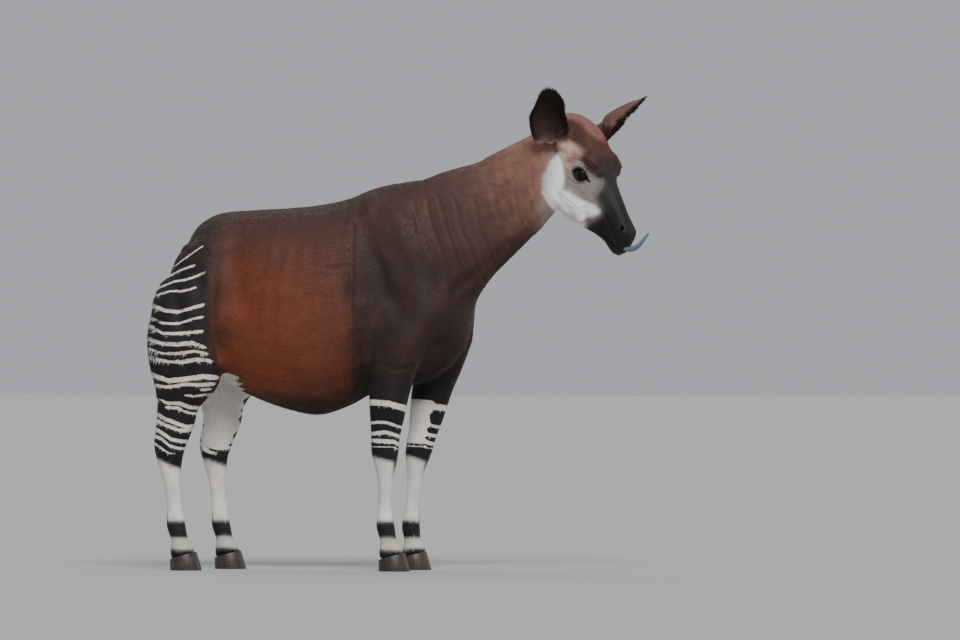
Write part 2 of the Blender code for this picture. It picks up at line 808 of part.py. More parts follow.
COLOURS = (
    ("hoof", (0.030, 0.026, 0.024), 0.5),
    ("leg", (0.060, 0.040, 0.032), 0.8),
    ("ear", (0.120, 0.050, 0.035), 0.8),
    ("eye", (0.010, 0.008, 0.008), 0.1),
    ("tongue", (0.180, 0.170, 0.240), 0.4),
    ("head", (0.220, 0.150, 0.120), 0.8),
    ("neck", (0.110, 0.055, 0.038), 0.8),
    ("tail", (0.050, 0.026, 0.020), 0.8),
    ("torso", (0.085, 0.032, 0.020), 0.8),
)


def paint_all(group):
    for obj in group.objects:
        for word, colour, roughness in COLOURS:
            if obj.name.startswith(word):
                paint(obj, colour, roughness)
                break
        obj.data.shade_smooth()
        obj.data.set_sharp_from_angle(angle=math.radians(50))


def centre_on_floor(group):
    """Moves every piece so that the origin is under the middle of the whole."""
    points = np.array([obj.matrix_world @ v.co for obj in group.objects for v in obj.data.vertices])
    middle = (points.max(axis=0) + points.min(axis=0)) / 2
    move = Matrix.Translation((-middle[0], -middle[1], 0))
    for obj in group.objects:
        obj.data.transform(move)


def main():
    clear_scene()
    okapi = new_collection("okapi")
    cutters = new_collection("cutters")
    body = flesh(okapi)
    head_piece = part_off(body, "head", HEAD_CUT, -REACH, REACH, okapi, cutters)
    part_off(body, "neck", NECK_CUT, -REACH, REACH, okapi, cutters)
    for side, word in ((-1, "right"), (1, "left")):
        shift = side > 0
        low, high = mirrored_range(side, FORELEG_INNER)
        fore = part_off(body, "leg_front_" + word, FORELEG_CUT, low, high, okapi, cutters)
        low, high = mirrored_range(side, HIND_LEG_INNER)
        hind = part_off(body, "leg_hind_" + word, HIND_LEG_CUT, low, high, okapi, cutters)
        for piece, rows, shifts, place in (
            (fore, FORELEG, FORE_SHIFT, "front_" + word),
            (hind, HIND_LEG, HIND_SHIFT, "hind_" + word),
        ):
            centre_x = rows[-2][1] + (shift_at(0.0, shifts) if shift else 0.0)
            centre_y = side * rows[-2][2]
            cut_foot(piece, centre_x, centre_y, cutters)
            hooves(place, centre_x, side, centre_y, okapi)
    body.name = "torso"
    finish_head(head_piece, okapi, cutters)
    for side, word, aim in ((-1, "right", RIGHT_EAR), (1, "left", LEFT_EAR)):
        ear("ear_" + word, side, aim, okapi)
        ball("eye_" + word, eye_centre(side), EYE_RADIUS, okapi)
    tongue("tongue", 0.0, okapi)
    add_to(body, tail_boss(cutters), "UNION")
    add_to(body, dock("dock_gap", GAP, cutters), "DIFFERENCE")
    keep_largest(body)
    tail(okapi)
    paint_all(okapi)
    centre_on_floor(okapi)


main()
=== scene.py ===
import math

import bmesh
import bpy
import numpy as np
from mathutils import Matrix, Vector


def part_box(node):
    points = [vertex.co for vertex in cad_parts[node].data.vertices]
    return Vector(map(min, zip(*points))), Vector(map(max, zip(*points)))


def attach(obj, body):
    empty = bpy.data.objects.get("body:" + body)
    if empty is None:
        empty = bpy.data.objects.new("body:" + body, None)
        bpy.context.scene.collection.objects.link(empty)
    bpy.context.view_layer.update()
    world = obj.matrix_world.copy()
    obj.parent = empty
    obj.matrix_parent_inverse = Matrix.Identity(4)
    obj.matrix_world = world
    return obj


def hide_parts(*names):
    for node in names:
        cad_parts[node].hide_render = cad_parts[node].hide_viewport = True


bl_info = {
    "name": "Okapi model",
    "version": (1, 0, 0),
    "blender": (4, 5, 0),
    "location": "View3D > Sidebar > Okapi",
    "description": "Dresses the solids of a life-size okapi with skin, coat, eyes and hooves",
    "category": "Object",
}

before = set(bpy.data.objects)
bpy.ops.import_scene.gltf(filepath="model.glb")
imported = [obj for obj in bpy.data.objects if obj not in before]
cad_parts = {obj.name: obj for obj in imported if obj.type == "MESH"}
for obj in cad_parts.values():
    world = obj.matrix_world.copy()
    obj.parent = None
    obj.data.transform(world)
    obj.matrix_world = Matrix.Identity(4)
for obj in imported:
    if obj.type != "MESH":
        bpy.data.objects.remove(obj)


def linear(text):
    """A colour written as sRGB hex, as the linear values that Blender wants."""
    values = [int(text[i : i + 2], 16) / 255 for i in (1, 3, 5)]
    return [v / 12.92 if v <= 0.04045 else ((v + 0.055) / 1.055) ** 2.4 for v in values]


# The head in the body's frame: its poll, how far it turns and hangs, and where its left eye lies in it
POLL = np.array([1.119, -0.050, 1.785])
HEAD_TURN = math.radians(28.0)
HEAD_DROP = math.radians(57.3)
EYE = np.array([0.245, 0.063, -0.070])
EYE_RADIUS = 0.0285
EYE_SLANT = math.radians(-31.0)
EYE_AHEAD = math.radians(18.0)
# How far the cornea stands out, against the ball's radius, and the angle it takes up
CORNEA_RISE = 0.028
CORNEA_SPREAD = 0.62
# Half length of the opening between the lids, its half height above and below, and the lids' outer reach
LID_LONG = 0.0258
LID_UPPER = 0.0205
LID_LOWER = 0.0178
LID_REACH = 0.0290
LID_STEPS = 96
LASHES = 46
NOSTRIL = (0.520, 0.032, -0.042)

# Ears in the upright frame of the head: root, where the ear points and where its cup opens, with y outwards
RIGHT_EAR = ((0.026, 0.125, -0.104), (0.245, 0.447, 0.860), (0.451, 0.770, -0.450))
LEFT_EAR = ((0.046, 0.130, -0.086), (0.290, 0.690, 0.660), (0.640, 0.365, -0.663))
# The leaf of an ear: distance along, front edge, rear edge, depth of its cup
EAR_EDGES = (
    (-0.026, -0.056, 0.090, 0.008),
    (-0.010, -0.008, 0.112, 0.030),
    (0.020, 0.030, 0.122, 0.050),
    (0.060, 0.028, 0.125, 0.065),
    (0.100, 0.024, 0.121, 0.058),
    (0.140, 0.024, 0.098, 0.045),
    (0.180, 0.014, 0.080, 0.028),
    (0.212, -0.024, 0.046, 0.006),
)
EAR_END = 0.216
# Middle of the stub that carries an ear, in the ear's own frame
EAR_STUB = (-0.045, 0.012, -0.040)

# Middle line of the neck from above: x and y
NECK_LINE = ((0.500, 0.000), (0.647, -0.004), (0.796, -0.014), (0.897, -0.026), (0.991, -0.040), (1.075, -0.050))
NECK_AXIS = (0.823, 0.0, 0.567)
# Where the coat of the neck starts, where the head does, and the brisket at the neck's foot: x and height
NECK_ROOT = (0.60, 1.30)
THROAT = (1.080, 1.950)
NECK_FOOT = (0.675, 1.060)
# Legs: height, x, distance from the middle, half length, half width
FORELEG = (
    (0.930, 0.452, 0.140, 0.128, 0.074),
    (0.810, 0.415, 0.143, 0.100, 0.070),
    (0.700, 0.390, 0.140, 0.086, 0.060),
    (0.530, 0.373, 0.135, 0.062, 0.047),
    (0.415, 0.370, 0.133, 0.046, 0.043),
    (0.250, 0.371, 0.132, 0.031, 0.029),
    (0.110, 0.386, 0.132, 0.036, 0.035),
    (0.000, 0.404, 0.132, 0.047, 0.043),
)
HIND_LEG = (
    (1.050, -0.392, 0.135, 0.156, 0.092),
    (0.850, -0.425, 0.155, 0.152, 0.086),
    (0.710, -0.420, 0.154, 0.128, 0.067),
    (0.635, -0.452, 0.150, 0.088, 0.055),
    (0.490, -0.487, 0.144, 0.070, 0.047),
    (0.350, -0.480, 0.141, 0.039, 0.034),
    (0.110, -0.446, 0.140, 0.037, 0.036),
    (0.000, -0.428, 0.140, 0.048, 0.044),
)
# How far her left legs stand forward of the right ones: height and shift
FORE_SHIFT = ((1.060, 0.000), (0.860, 0.050), (0.740, 0.110), (0.560, 0.094), (0.400, 0.064), (0.000, 0.026))
HIND_SHIFT = ((1.180, 0.000), (0.900, 0.020), (0.710, 0.085), (0.600, 0.115), (0.000, 0.112))

# The side view that the markings are measured in: its bearing, distance, middle and breadth
VIEW_TURN = math.radians(12.0)
VIEW_DISTANCE = 40.0
VIEW_ALONG = 0.703125
VIEW_HEIGHT = 0.9766
VIEW_BREADTH = 3.75
FILM_BREADTH = 36.0

# Stripes of the thigh, from the top down: height at five stations from rear to front, half width, and the
# share of the breadth where the stripe starts and ends, if it doesn't run right across
THIGH_STRIPES = (
    ((1.172, 1.210, 1.239, 1.261, 1.270), 0.0031),
    ((1.137, 1.167, 1.183, 1.195, 1.219), 0.0039, -1.00, 0.68),
    ((1.105, 1.127, 1.133, 1.148, 1.168), 0.0047),
    ((1.074, 1.090, 1.090, 1.103, 1.104), 0.0047, -1.00, 0.79),
    ((1.039, 1.014, 1.008, 1.024, 1.039), 0.0063),
    ((0.988, 0.964, 0.961, 0.980, 0.992), 0.0047),
    ((0.960, 0.925, 0.924, 0.929, 0.934), 0.0063),
    ((0.906, 0.884, 0.881, 0.888, 0.863), 0.0078),
    ((0.867, 0.844, 0.846, 0.855, 0.844), 0.0047),
    ((0.832, 0.816, 0.813, 0.823, 0.816), 0.0066),
    ((0.766, 0.738, 0.745, 0.756, 0.750), 0.0098),
    ((0.722, 0.713, 0.724, 0.723, 0.727), 0.0070),
    ((0.705, 0.693, 0.704, 0.703, 0.707), 0.0039, 0.76, 2.00),
    ((0.689, 0.673, 0.684, 0.680, 0.688), 0.0039, 0.53, 2.00),
    ((0.672, 0.653, 0.651, 0.636, 0.633), 0.0063),
    ((0.645, 0.636, 0.633, 0.616, 0.609), 0.0047, 0.22, 2.00),
    ((0.617, 0.589, 0.574, 0.559, 0.562), 0.0078),
    ((0.590, 0.567, 0.552, 0.543, 0.552), 0.0070),
    ((0.555, 0.533, 0.510, 0.504, 0.500), 0.0070),
    ((0.527, 0.512, 0.486, 0.475, 0.473), 0.0059),
    ((0.504, 0.479, 0.455, 0.449, 0.463), 0.0047, -1.00, 0.72),
)
# Rear and front edges of the striped part of the thigh: height and distance along
THIGH_REAR = (
    (1.277, -0.453), (1.172, -0.512), (1.137, -0.531), (1.074, -0.562), (1.039, -0.582), (0.953, -0.594),
    (0.898, -0.598), (0.789, -0.590), (0.715, -0.574), (0.637, -0.566), (0.562, -0.570), (0.488, -0.582),
)
THIGH_FRONT = (
    (1.289, -0.363), (1.055, -0.363), (0.934, -0.367), (0.863, -0.359), (0.812, -0.332), (0.781, -0.309),
    (0.750, -0.312), (0.727, -0.324), (0.684, -0.348), (0.629, -0.395), (0.562, -0.402), (0.492, -0.438),
)
# Stripes of the forearm, likewise
ARM_STRIPES = (
    ((0.656, 0.654, 0.651, 0.639, 0.629), 0.0117),
    ((0.571, 0.578, 0.576, 0.565, 0.555), 0.0051),
    ((0.532, 0.535, 0.539, 0.529, 0.520), 0.0070),
    ((0.504, 0.503, 0.501, 0.500, 0.484), 0.0094),
    ((0.484, 0.483, 0.482, 0.481, 0.469), 0.0031),
)
ARM_REAR = ((0.719, 0.258), (0.660, 0.258), (0.562, 0.270), (0.469, 0.281), (0.414, 0.285), (0.352, 0.289))
ARM_FRONT = ((0.742, 0.434), (0.688, 0.434), (0.613, 0.418), (0.543, 0.398), (0.477, 0.395), (0.414, 0.379))

# Markings of the head in the side view, as outlines
FOREHEAD = (
    (1.030, 1.766), (1.074, 1.787), (1.130, 1.783), (1.186, 1.749), (1.225, 1.671), (1.264, 1.599), (1.256, 1.549),
    (1.225, 1.549), (1.197, 1.576), (1.169, 1.562), (1.144, 1.554), (1.113, 1.576), (1.102, 1.607), (1.113, 1.638),
    (1.080, 1.666), (1.055, 1.671), (1.024, 1.694),
)
# The crest: partly its own pinkish hair, partly a painted highlight on the lit ridge between the ears
CREST = (
    (1.038, 1.766), (1.080, 1.787), (1.124, 1.780), (1.169, 1.758), (1.203, 1.705), (1.205, 1.666), (1.175, 1.677),
    (1.144, 1.694), (1.119, 1.716), (1.091, 1.749),
)
BRIDGE = (
    (1.189, 1.593), (1.219, 1.610), (1.270, 1.599), (1.275, 1.509), (1.320, 1.387), (1.331, 1.320), (1.309, 1.264),
    (1.197, 1.242), (1.152, 1.292), (1.130, 1.325), (1.175, 1.376), (1.180, 1.398), (1.166, 1.431), (1.156, 1.458),
    (1.180, 1.505), (1.178, 1.560),
)
MUZZLE = (
    (1.230, 1.543), (1.275, 1.543), (1.331, 1.376), (1.331, 1.219), (1.230, 1.219), (1.152, 1.275), (1.108, 1.331),
    (1.119, 1.359), (1.152, 1.364), (1.197, 1.398), (1.242, 1.431),
)
CHEEK = (
    (0.982, 1.599), (1.007, 1.621), (1.024, 1.593), (1.035, 1.532), (1.024, 1.487), (1.063, 1.465), (1.119, 1.437),
    (1.152, 1.426), (1.174, 1.403), (1.161, 1.384), (1.119, 1.381), (1.102, 1.359), (1.130, 1.331), (1.108, 1.314),
    (1.074, 1.331), (1.024, 1.370), (0.974, 1.431), (0.946, 1.476), (0.949, 1.543),
)
TEMPLE = (
    (1.013, 1.666), (1.063, 1.688), (1.102, 1.621), (1.085, 1.599), (1.063, 1.599), (1.052, 1.565), (1.030, 1.588),
    (1.013, 1.621),
)
LID_PALE = ((1.055, 1.585), (1.080, 1.596), (1.108, 1.588), (1.124, 1.571), (1.102, 1.576), (1.080, 1.576))
BROW = (
    (1.035, 1.600), (1.070, 1.635), (1.110, 1.632), (1.160, 1.590), (1.130, 1.572), (1.100, 1.590), (1.060, 1.590),
)
EYE_PATCH = (
    (1.094, 1.604), (1.130, 1.616), (1.200, 1.610), (1.215, 1.560), (1.195, 1.525), (1.160, 1.535), (1.133, 1.560),
    (1.108, 1.579),
)
# Where the elbow's longer hair grows
ELBOW = ((0.250, 0.840), (0.265, 0.770))
# Thin lines of the head: the crease behind the ear, darkened as painted shade in the crease, and the vein under the
# eye, lightened as a painted highlight along its ridge
EAR_CREASE_SHADE = ((0.991, 1.676), (0.996, 1.650), (1.002, 1.632))
VEIN_HIGHLIGHT = ((1.185, 1.530), (1.178, 1.497), (1.160, 1.470), (1.133, 1.444))
# Bare corners of an eye, from its middle and along its slant
EYE_CORNERS = (((0.030, -0.003), (0.044, -0.009)), ((-0.028, 0.001), (-0.034, -0.001)))
# Layers of the head's colour: tint, outline, soft edge and strength
UNDER_HEAD = (("sand", TEMPLE, 0.014, 1.0), ("chalk", CHEEK, 0.009, 1.0))
OVER_HEAD = (
    ("russet", FOREHEAD, 0.016, 1.0),
    # The crest's rose is partly its pinkish hair and partly a painted highlight on the lit ridge
    ("rose_and_crest_highlight", CREST, 0.012, 1.0),
    ("slate", BRIDGE, 0.026, 0.93),
    ("ink", MUZZLE, 0.024, 0.9),
    ("umber", EYE_PATCH, 0.009, 0.8),
)

# Folds of the skin in the side view: line, depth (a ridge is below zero), half width
FOLDS = (
    (((0.242, 1.469), (0.207, 1.418), (0.191, 1.359)), -0.0031, 0.010),
    (((0.203, 1.348), (0.203, 1.203), (0.199, 1.055), (0.207, 0.922), (0.227, 0.812), (0.250, 0.695)), 0.0040, 0.010),
    (((0.176, 0.922), (0.188, 0.812), (0.203, 0.727)), 0.0022, 0.007),
    (((0.227, 0.938), (0.234, 0.859), (0.250, 0.773)), 0.0022, 0.007),
    (((0.152, 0.898), (0.160, 0.801), (0.176, 0.711)), 0.0015, 0.007),
    (((0.445, 1.434), (0.465, 1.320), (0.504, 1.203), (0.551, 1.117)), 0.0028, 0.008),
    (((0.492, 1.449), (0.512, 1.344), (0.551, 1.234), (0.594, 1.125), (0.629, 1.055)), 0.0028, 0.008),
    (((0.539, 1.457), (0.570, 1.344), (0.602, 1.230), (0.656, 1.109)), 0.0025, 0.008),
    (((0.605, 1.445), (0.625, 1.352), (0.664, 1.250), (0.727, 1.109)), 0.0028, 0.008),
    (((0.680, 1.461), (0.695, 1.352), (0.734, 1.250), (0.766, 1.172)), 0.0022, 0.008),
    (((0.750, 1.500), (0.766, 1.398), (0.805, 1.305), (0.828, 1.250)), 0.0019, 0.008),
    (((0.824, 1.531), (0.844, 1.430), (0.867, 1.344)), 0.0015, 0.007),
    (((0.898, 1.582), (0.906, 1.504), (0.926, 1.426)), 0.0012, 0.007),
    (((0.258, 0.789), (0.305, 0.801), (0.371, 0.781), (0.438, 0.797)), 0.0025, 0.008),
    (((0.453, 0.688), (0.477, 0.727), (0.523, 0.781), (0.570, 0.859)), 0.0031, 0.010),
    (((0.047, 1.188), (0.117, 1.176), (0.195, 1.184)), 0.0015, 0.006),
    (((-0.328, 1.250), (-0.336, 1.094), (-0.344, 0.938), (-0.324, 0.836)), 0.0037, 0.014),
    (((-0.305, 0.852), (-0.312, 0.805), (-0.305, 0.766)), -0.0025, 0.009),
    (((0.406, 1.090), (0.453, 1.109), (0.516, 1.125)), 0.0015, 0.006),
)
# Broad forms of bone and muscle, likewise
FORMS = (
    (((-0.300, 1.300), (-0.335, 1.265)), -0.0080, 0.034),
    (((-0.262, 1.200), (-0.245, 1.050)), 0.0090, 0.050),
    (((0.265, 1.440), (0.310, 1.280), (0.365, 1.120)), -0.0055, 0.026),
    (((0.470, 1.060), (0.510, 1.010)), -0.0090, 0.055),
    (((0.245, 1.020), (0.270, 0.850)), -0.0060, 0.034),
    (((0.265, 0.800), (0.280, 0.780)), -0.0070, 0.028),
    (((0.350, 0.720), (0.345, 0.640)), -0.0045, 0.032),
    (((1.000, 1.400), (0.850, 1.290), (0.720, 1.190), (0.610, 1.090)), 0.0060, 0.020),
    (((-0.500, 1.160), (-0.455, 0.920), (-0.440, 0.760)), 0.0055, 0.024),
    (((-0.335, 0.820), (-0.330, 0.780)), -0.0070, 0.036),
    (((-0.545, 0.600), (-0.552, 0.530), (-0.565, 0.470)), 0.0060, 0.011),
    (((-0.495, 0.450), (-0.500, 0.430)), -0.0045, 0.020),
    (((-0.487, 0.380), (-0.478, 0.300), (-0.470, 0.220)), 0.0035, 0.006),
    (((0.380, 0.425), (0.378, 0.400)), -0.0045, 0.020),
    (((0.358, 0.370), (0.357, 0.300), (0.358, 0.220)), 0.0035, 0.006),
    (((0.020, 1.250), (-0.010, 1.050), (-0.015, 0.880)), -0.0008, 0.014),
    (((-0.045, 1.250), (-0.075, 1.050), (-0.080, 0.880)), -0.0009, 0.014),
    (((-0.110, 1.240), (-0.140, 1.050), (-0.140, 0.900)), -0.0009, 0.014),
    (((0.085, 1.250), (0.060, 1.050), (0.060, 0.880)), -0.0007, 0.014),
)
# Folds of the head, likewise
HEAD_FOLDS = (
    (((0.995, 1.640), (0.990, 1.600), (0.957, 1.545), (0.948, 1.484), (0.974, 1.437), (1.018, 1.378)), 0.0045, 0.006),
    (((1.012, 1.625), (1.010, 1.600), (0.985, 1.545), (0.972, 1.490), (0.998, 1.445), (1.040, 1.395)), -0.0030, 0.009),
    (((1.022, 1.465), (1.035, 1.449), (1.061, 1.431)), 0.0030, 0.003),
    (((0.996, 1.419), (1.042, 1.374), (1.100, 1.353), (1.133, 1.361)), 0.0025, 0.004),
    (((1.185, 1.530), (1.175, 1.497), (1.133, 1.444), (1.090, 1.420)), -0.0016, 0.004),
    (((1.050, 1.528), (1.081, 1.505), (1.126, 1.508), (1.159, 1.522)), 0.0018, 0.003),
    (((1.036, 1.580), (1.062, 1.604), (1.107, 1.592), (1.139, 1.566)), 0.0020, 0.0035),
    (((1.052, 1.590), (1.085, 1.618), (1.130, 1.606), (1.165, 1.575)), -0.0030, 0.007),
    (((1.024, 1.700), (1.046, 1.660), (1.036, 1.622)), 0.0030, 0.005),
    (((1.180, 1.400), (1.215, 1.340), (1.225, 1.290)), 0.0015, 0.006),
)
# Line of the mouth in the head's frame: distance along and height
MOUTH = ((0.452, -0.136), (0.490, -0.131), (0.530, -0.120), (0.570, -0.102), (0.610, -0.085))

# Middle of the tail: x and height, then its radius at the root and at the tip
TAIL_PATH = ((-0.440, 1.246), (-0.469, 1.238), (-0.495, 1.196), (-0.522, 1.120), (-0.538, 1.040), (-0.546, 0.980))
TAIL_RADIUS = 0.0165
TAIL_TIP_RADIUS = 0.0085
TAIL_SIDES = 14
# The long locks: how many, where along the path's corners they start, and over how many of them they spread
LOCKS = 420
LOCKS_FROM = 2.6
LOCKS_OVER = 2.4

# Nodes that the one skin replaces
FLESH = ("torso", "neck", "head", "leg_front_right", "leg_front_left", "leg_hind_right", "leg_hind_left")
EARS = ("ear_right", "ear_left")
# How far an ear's thin walls are swelled before the melt
EAR_SWELL = 0.0012
MOST_SKIN_FACES = 194000
WELD = 1e-5
HOOVES = [
    f"hoof_{end}_{side}_{claw}"
    for end in ("front", "hind")
    for side in ("right", "left")
    for claw in ("outer", "inner")
]
# A stripe value that draws no stripe: number, gap and half width
NO_STRIPE = [0.0, 0.1, -1.0]
# Bare height kept past the first and the last stripe
STRIPE_MARGIN = 0.06
# Half width, against the gap, that leaves no dark between two stripes
STRIPE_COVER = 0.62
# A sleeve of the unwrap is a little more than a full turn wide, so that its edges stay apart
SLEEVE = 6.4

# Waves that a ripple is made of, and the height that they seldom pass
RIPPLE_WAVES = 7
RIPPLE_REACH = 3.2

# Rounds of smoothing: all over, head, blades of the ears, their stubs, the neck's foot and the join
ROUNDS_ALL = 24
ROUNDS_HEAD = 90
ROUNDS_LEAVES = 130
ROUNDS_STUBS = 150
ROUNDS_FOOT = 110
ROUNDS_JOIN = 120


def size(name, note, value):
    return bpy.props.FloatProperty(name=name, description=note, default=value, unit="LENGTH")


class OkapiSizes(bpy.types.PropertyGroup):
    """Sizes of the skin and the coat."""

    body_grain: size("Body grain", "Size of a face of the body's skin", 0.0092)
    head_grain: size("Head grain", "Size of a face of the head's skin", 0.0040)
    coat_depth: size("Coat depth", "How far the skin lies inside the coat", 0.003)
    tuft_length: size("Tuft length", "Length of a tuft on the trunk", 0.014)
    tuft_width: size("Tuft width", "Breadth of a tuft on the trunk", 0.0019)


def colour(name, note, text):
    return bpy.props.FloatVectorProperty(name=name, description=note, default=linear(text), size=3, subtype="COLOR")


class OkapiColours(bpy.types.PropertyGroup):
    """Colours of the coat and of the bare parts."""

    chocolate: colour("Chocolate", "Back and barrel", "#42241b")
    chestnut: colour("Chestnut", "Flank, where the coat is reddest", "#6a331b")
    soot: colour("Soot", "Stripes' ground, belly and elbow", "#161011")
    umber: colour("Umber", "Shoulder and upper foreleg", "#291914")
    maroon: colour("Maroon", "Rump", "#2a1a18")
    tan: colour("Tan", "Neck near the head", "#8d6454")
    taupe: colour("Taupe", "Middle of the neck", "#4f3630")
    russet: colour("Russet", "Forehead", "#45251b")
    # Rose is the ears' own pinkish russet; on the crest it is partly pinkish hair and partly a painted highlight
    rose_and_crest_highlight: colour("Rose", "Crest between the ears", "#775144")
    chalk: colour("Chalk", "Cheek", "#f3f1f2")
    ash: colour("Ash", "Round the eye", "#8f8580")
    slate: colour("Slate", "Bridge of the nose", "#111114")
    ink: colour("Ink", "Muzzle, lips and rims", "#0e0e0f")
    sand: colour("Sand", "Temple, between ear and eye", "#c2a090")
    cream: colour("Cream", "Stripes and stockings", "#d3cdc5")


def ease(low, high, value):
    """From 0 at the low value to 1 at the high one, with soft ends."""
    share = np.clip((value - low) / (high - low), 0, 1)
    return share * share * (3 - 2 * share)


def on_line(x, line):
    """Reads a table of height and value, given from the top down, at the heights x."""
    rows = np.array(line, float)[::-1]
    return np.interp(x, rows[:, 0], rows[:, 1])


def from_line(points, line):
    """Distance of flat points from a line of corners."""
    line = np.array(line, float)
    nearest = np.full(len(points), 9.0)
    for start, end in zip(line, line[1:]):
        span = end - start
        share = np.clip((points - start) @ span / (span @ span), 0, 1)
        nearest = np.minimum(nearest, np.linalg.norm(points - start - share[:, None] * span, axis=1))
    return nearest


def patch(points, outline, soft):
    """1 inside an outline of flat points and 0 outside, with a soft edge that wide."""
    corners = np.array(outline, float)
    inside = np.zeros(len(points), bool)
    for (x0, y0), (x1, y1) in zip(corners, np.roll(corners, -1, axis=0)):
        if y0 != y1:
            crosses = (points[:, 1] < y0) != (points[:, 1] < y1)
            inside ^= crosses & (points[:, 0] < x0 + (points[:, 1] - y0) * (x1 - x0) / (y1 - y0))
    depth = from_line(points, np.vstack([corners, corners[:1]])) * np.where(inside, 1, -1)
    return ease(-soft, soft, depth)


def ripple(points, size, seed):
    """Smooth noise between -1 and 1, from a few crossing waves of about the size given."""
    rng = np.random.default_rng(seed)
    total = np.zeros(len(points))
    for _ in range(RIPPLE_WAVES):
        way = rng.normal(size=points.shape[1])
        way *= math.tau / size / np.linalg.norm(way) * rng.uniform(0.6, 1.5)
        total += np.sin(points @ way + rng.uniform(0, math.tau))
    return np.clip(total / RIPPLE_REACH, -1, 1)


def unit(rows):
    """Every row as an arrow one metre long."""
    return rows / np.linalg.norm(rows, axis=1)[:, None]


def turned(x, z, angle):
    """A flat place turned about the origin."""
    cos, sin = math.cos(angle), math.sin(angle)
    return x * cos - z * sin, x * sin + z * cos


def middle_of(node):
    low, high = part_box(node)
    return (low + high) / 2


def head_frame():
    """The head's own frame, its nose along +X, found from the two eyes."""
    turn = Matrix.Rotation(-HEAD_TURN, 3, "Z") @ Matrix.Rotation(HEAD_DROP, 3, "Y")
    eyes = (middle_of("eye_right") + middle_of("eye_left")) / 2
    origin = eyes - turn @ Vector((EYE[0], 0, EYE[2]))
    return Matrix.Translation(origin) @ turn.to_4x4()


HEAD_FRAME = head_frame()
# Added to a point of this scene, it gives the place that the measured tables are in
SHIFT = POLL - np.array(HEAD_FRAME.translation)


def ear_frame(side, place):
    """Frame of an ear: +X along it and +Z out of its cup, at its root."""
    root, along, facing = (Vector((v[0], side * v[1], v[2])) for v in place)
    along.normalize()
    facing = (facing - along * facing.dot(along)).normalized()
    turn = Matrix((along, facing.cross(along), facing)).transposed().to_4x4()
    upright = Matrix.Translation(HEAD_FRAME.translation) @ Matrix.Rotation(-HEAD_TURN, 4, "Z")
    return upright @ Matrix.Translation(root) @ turn


# Right ear, then left: its side and its frame
EAR_FRAMES = [(side, ear_frame(side, place)) for side, place in ((-1, RIGHT_EAR), (1, LEFT_EAR))]
# Where the finely grained head joins the body, across the neck
JOIN = np.array([0.840, -0.018, 1.460]) - SHIFT
JOIN_AXIS = Vector(NECK_AXIS)


def in_frame(points, matrix):
    """The points as the frame of a matrix has them."""
    back = np.array(matrix.inverted())
    return points @ back[:3, :3].T + back[:3, 3]


def out_of_frame(points, matrix):
    there = np.array(matrix)
    return points @ there[:3, :3].T + there[:3, 3]


def side_view(places):
    """Where measured places show in the side view: distance along and height, in metres."""
    cos, sin = math.cos(VIEW_TURN), math.sin(VIEW_TURN)
    along = places[:, 0] * cos + places[:, 1] * sin
    away = places[:, 1] * cos - places[:, 0] * sin
    scale = VIEW_DISTANCE / (VIEW_DISTANCE + away)
    return np.column_stack(
        [VIEW_ALONG + scale * (along - VIEW_ALONG), VIEW_HEIGHT + scale * (places[:, 2] - VIEW_HEIGHT)]
    )


def headness(places):
    """0 on the body and 1 on the head, across the throat."""
    ahead = (places[:, 0] - THROAT[0]) * 0.986 - (places[:, 2] - THROAT[1]) * 0.166
    return ease(-0.05, 0.05, ahead)


def profile(face):
    """Distance along the head and height, of points in its frame."""
    return np.column_stack([face[:, 0], face[:, 2]])


def neck_middle(places):
    """How far the middle line of the neck lies to the left, at every place."""
    return np.interp(places[:, 0], *np.array(NECK_LINE).T)


def to_right_side(points):
    """Every point as its twin on her right side, in the measured places."""
    places = points + SHIFT
    middle = neck_middle(places)
    body = places.copy()
    left = places[:, 1] > middle
    body[:, 1] = middle - np.abs(places[:, 1] - middle)
    fore, hind = on_line(places[:, 2], FORE_SHIFT), on_line(places[:, 2], HIND_SHIFT)
    body[:, 0] -= np.where(left, np.where(places[:, 0] > 0.1, fore, hind), 0) * ease(1.0, 0.8, places[:, 2])
    face = in_frame(points, HEAD_FRAME)
    face[:, 1] = -np.abs(face[:, 1])
    face = out_of_frame(face, HEAD_FRAME) + SHIFT
    share = headness(places)[:, None]
    return body * (1 - share) + face * share


def leg_place(twins, table):
    """Place in a leg's cross-section: from 1 outside to -1 inside, and from 1 in front to -1 behind."""
    heights, *columns = np.array(table, float)[::-1].T
    x, apart, length, width = (np.interp(twins[:, 2], heights, column) for column in columns)
    return (-twins[:, 1] - apart) / width, (twins[:, 0] - x) / length


def stripe_field(flat, stripes, rear, front):
    """The running number of a point among the stripes, the gap between two and the half width there."""
    along, height = flat.T
    low, high = on_line(height, rear), on_line(height, front)
    share = np.clip((along - low) / (high - low), -0.15, 1.15)
    stations = np.linspace(0, 1, 5)
    heights, widths = [], []
    for levels, width, *ends in stripes:
        start, end = ends or (-1.0, 2.0)
        heights.append(np.interp(share, stations, levels))
        widths.append(width * ease(start - 0.06, start + 0.06, share) * ease(end + 0.05, end - 0.05, share))
    heights = np.array([heights[0] + STRIPE_MARGIN, *heights, heights[-1] - STRIPE_MARGIN])
    widths = np.array([np.zeros(len(share)), *widths, np.zeros(len(share))])
    number = np.zeros(len(share))
    gap = np.full(len(share), STRIPE_MARGIN)
    half = np.zeros(len(share))
    for i in range(len(heights) - 1):
        step = heights[i] - heights[i + 1]
        part = (heights[i] - height) / step
        here = (part >= 0) & (part < 1)
        number[here] = (i + part)[here]
        gap[here] = step[here]
        half[here] = (widths[i] + (widths[i + 1] - widths[i]) * ease(0.3, 0.7, part))[here]
    return number, gap, half


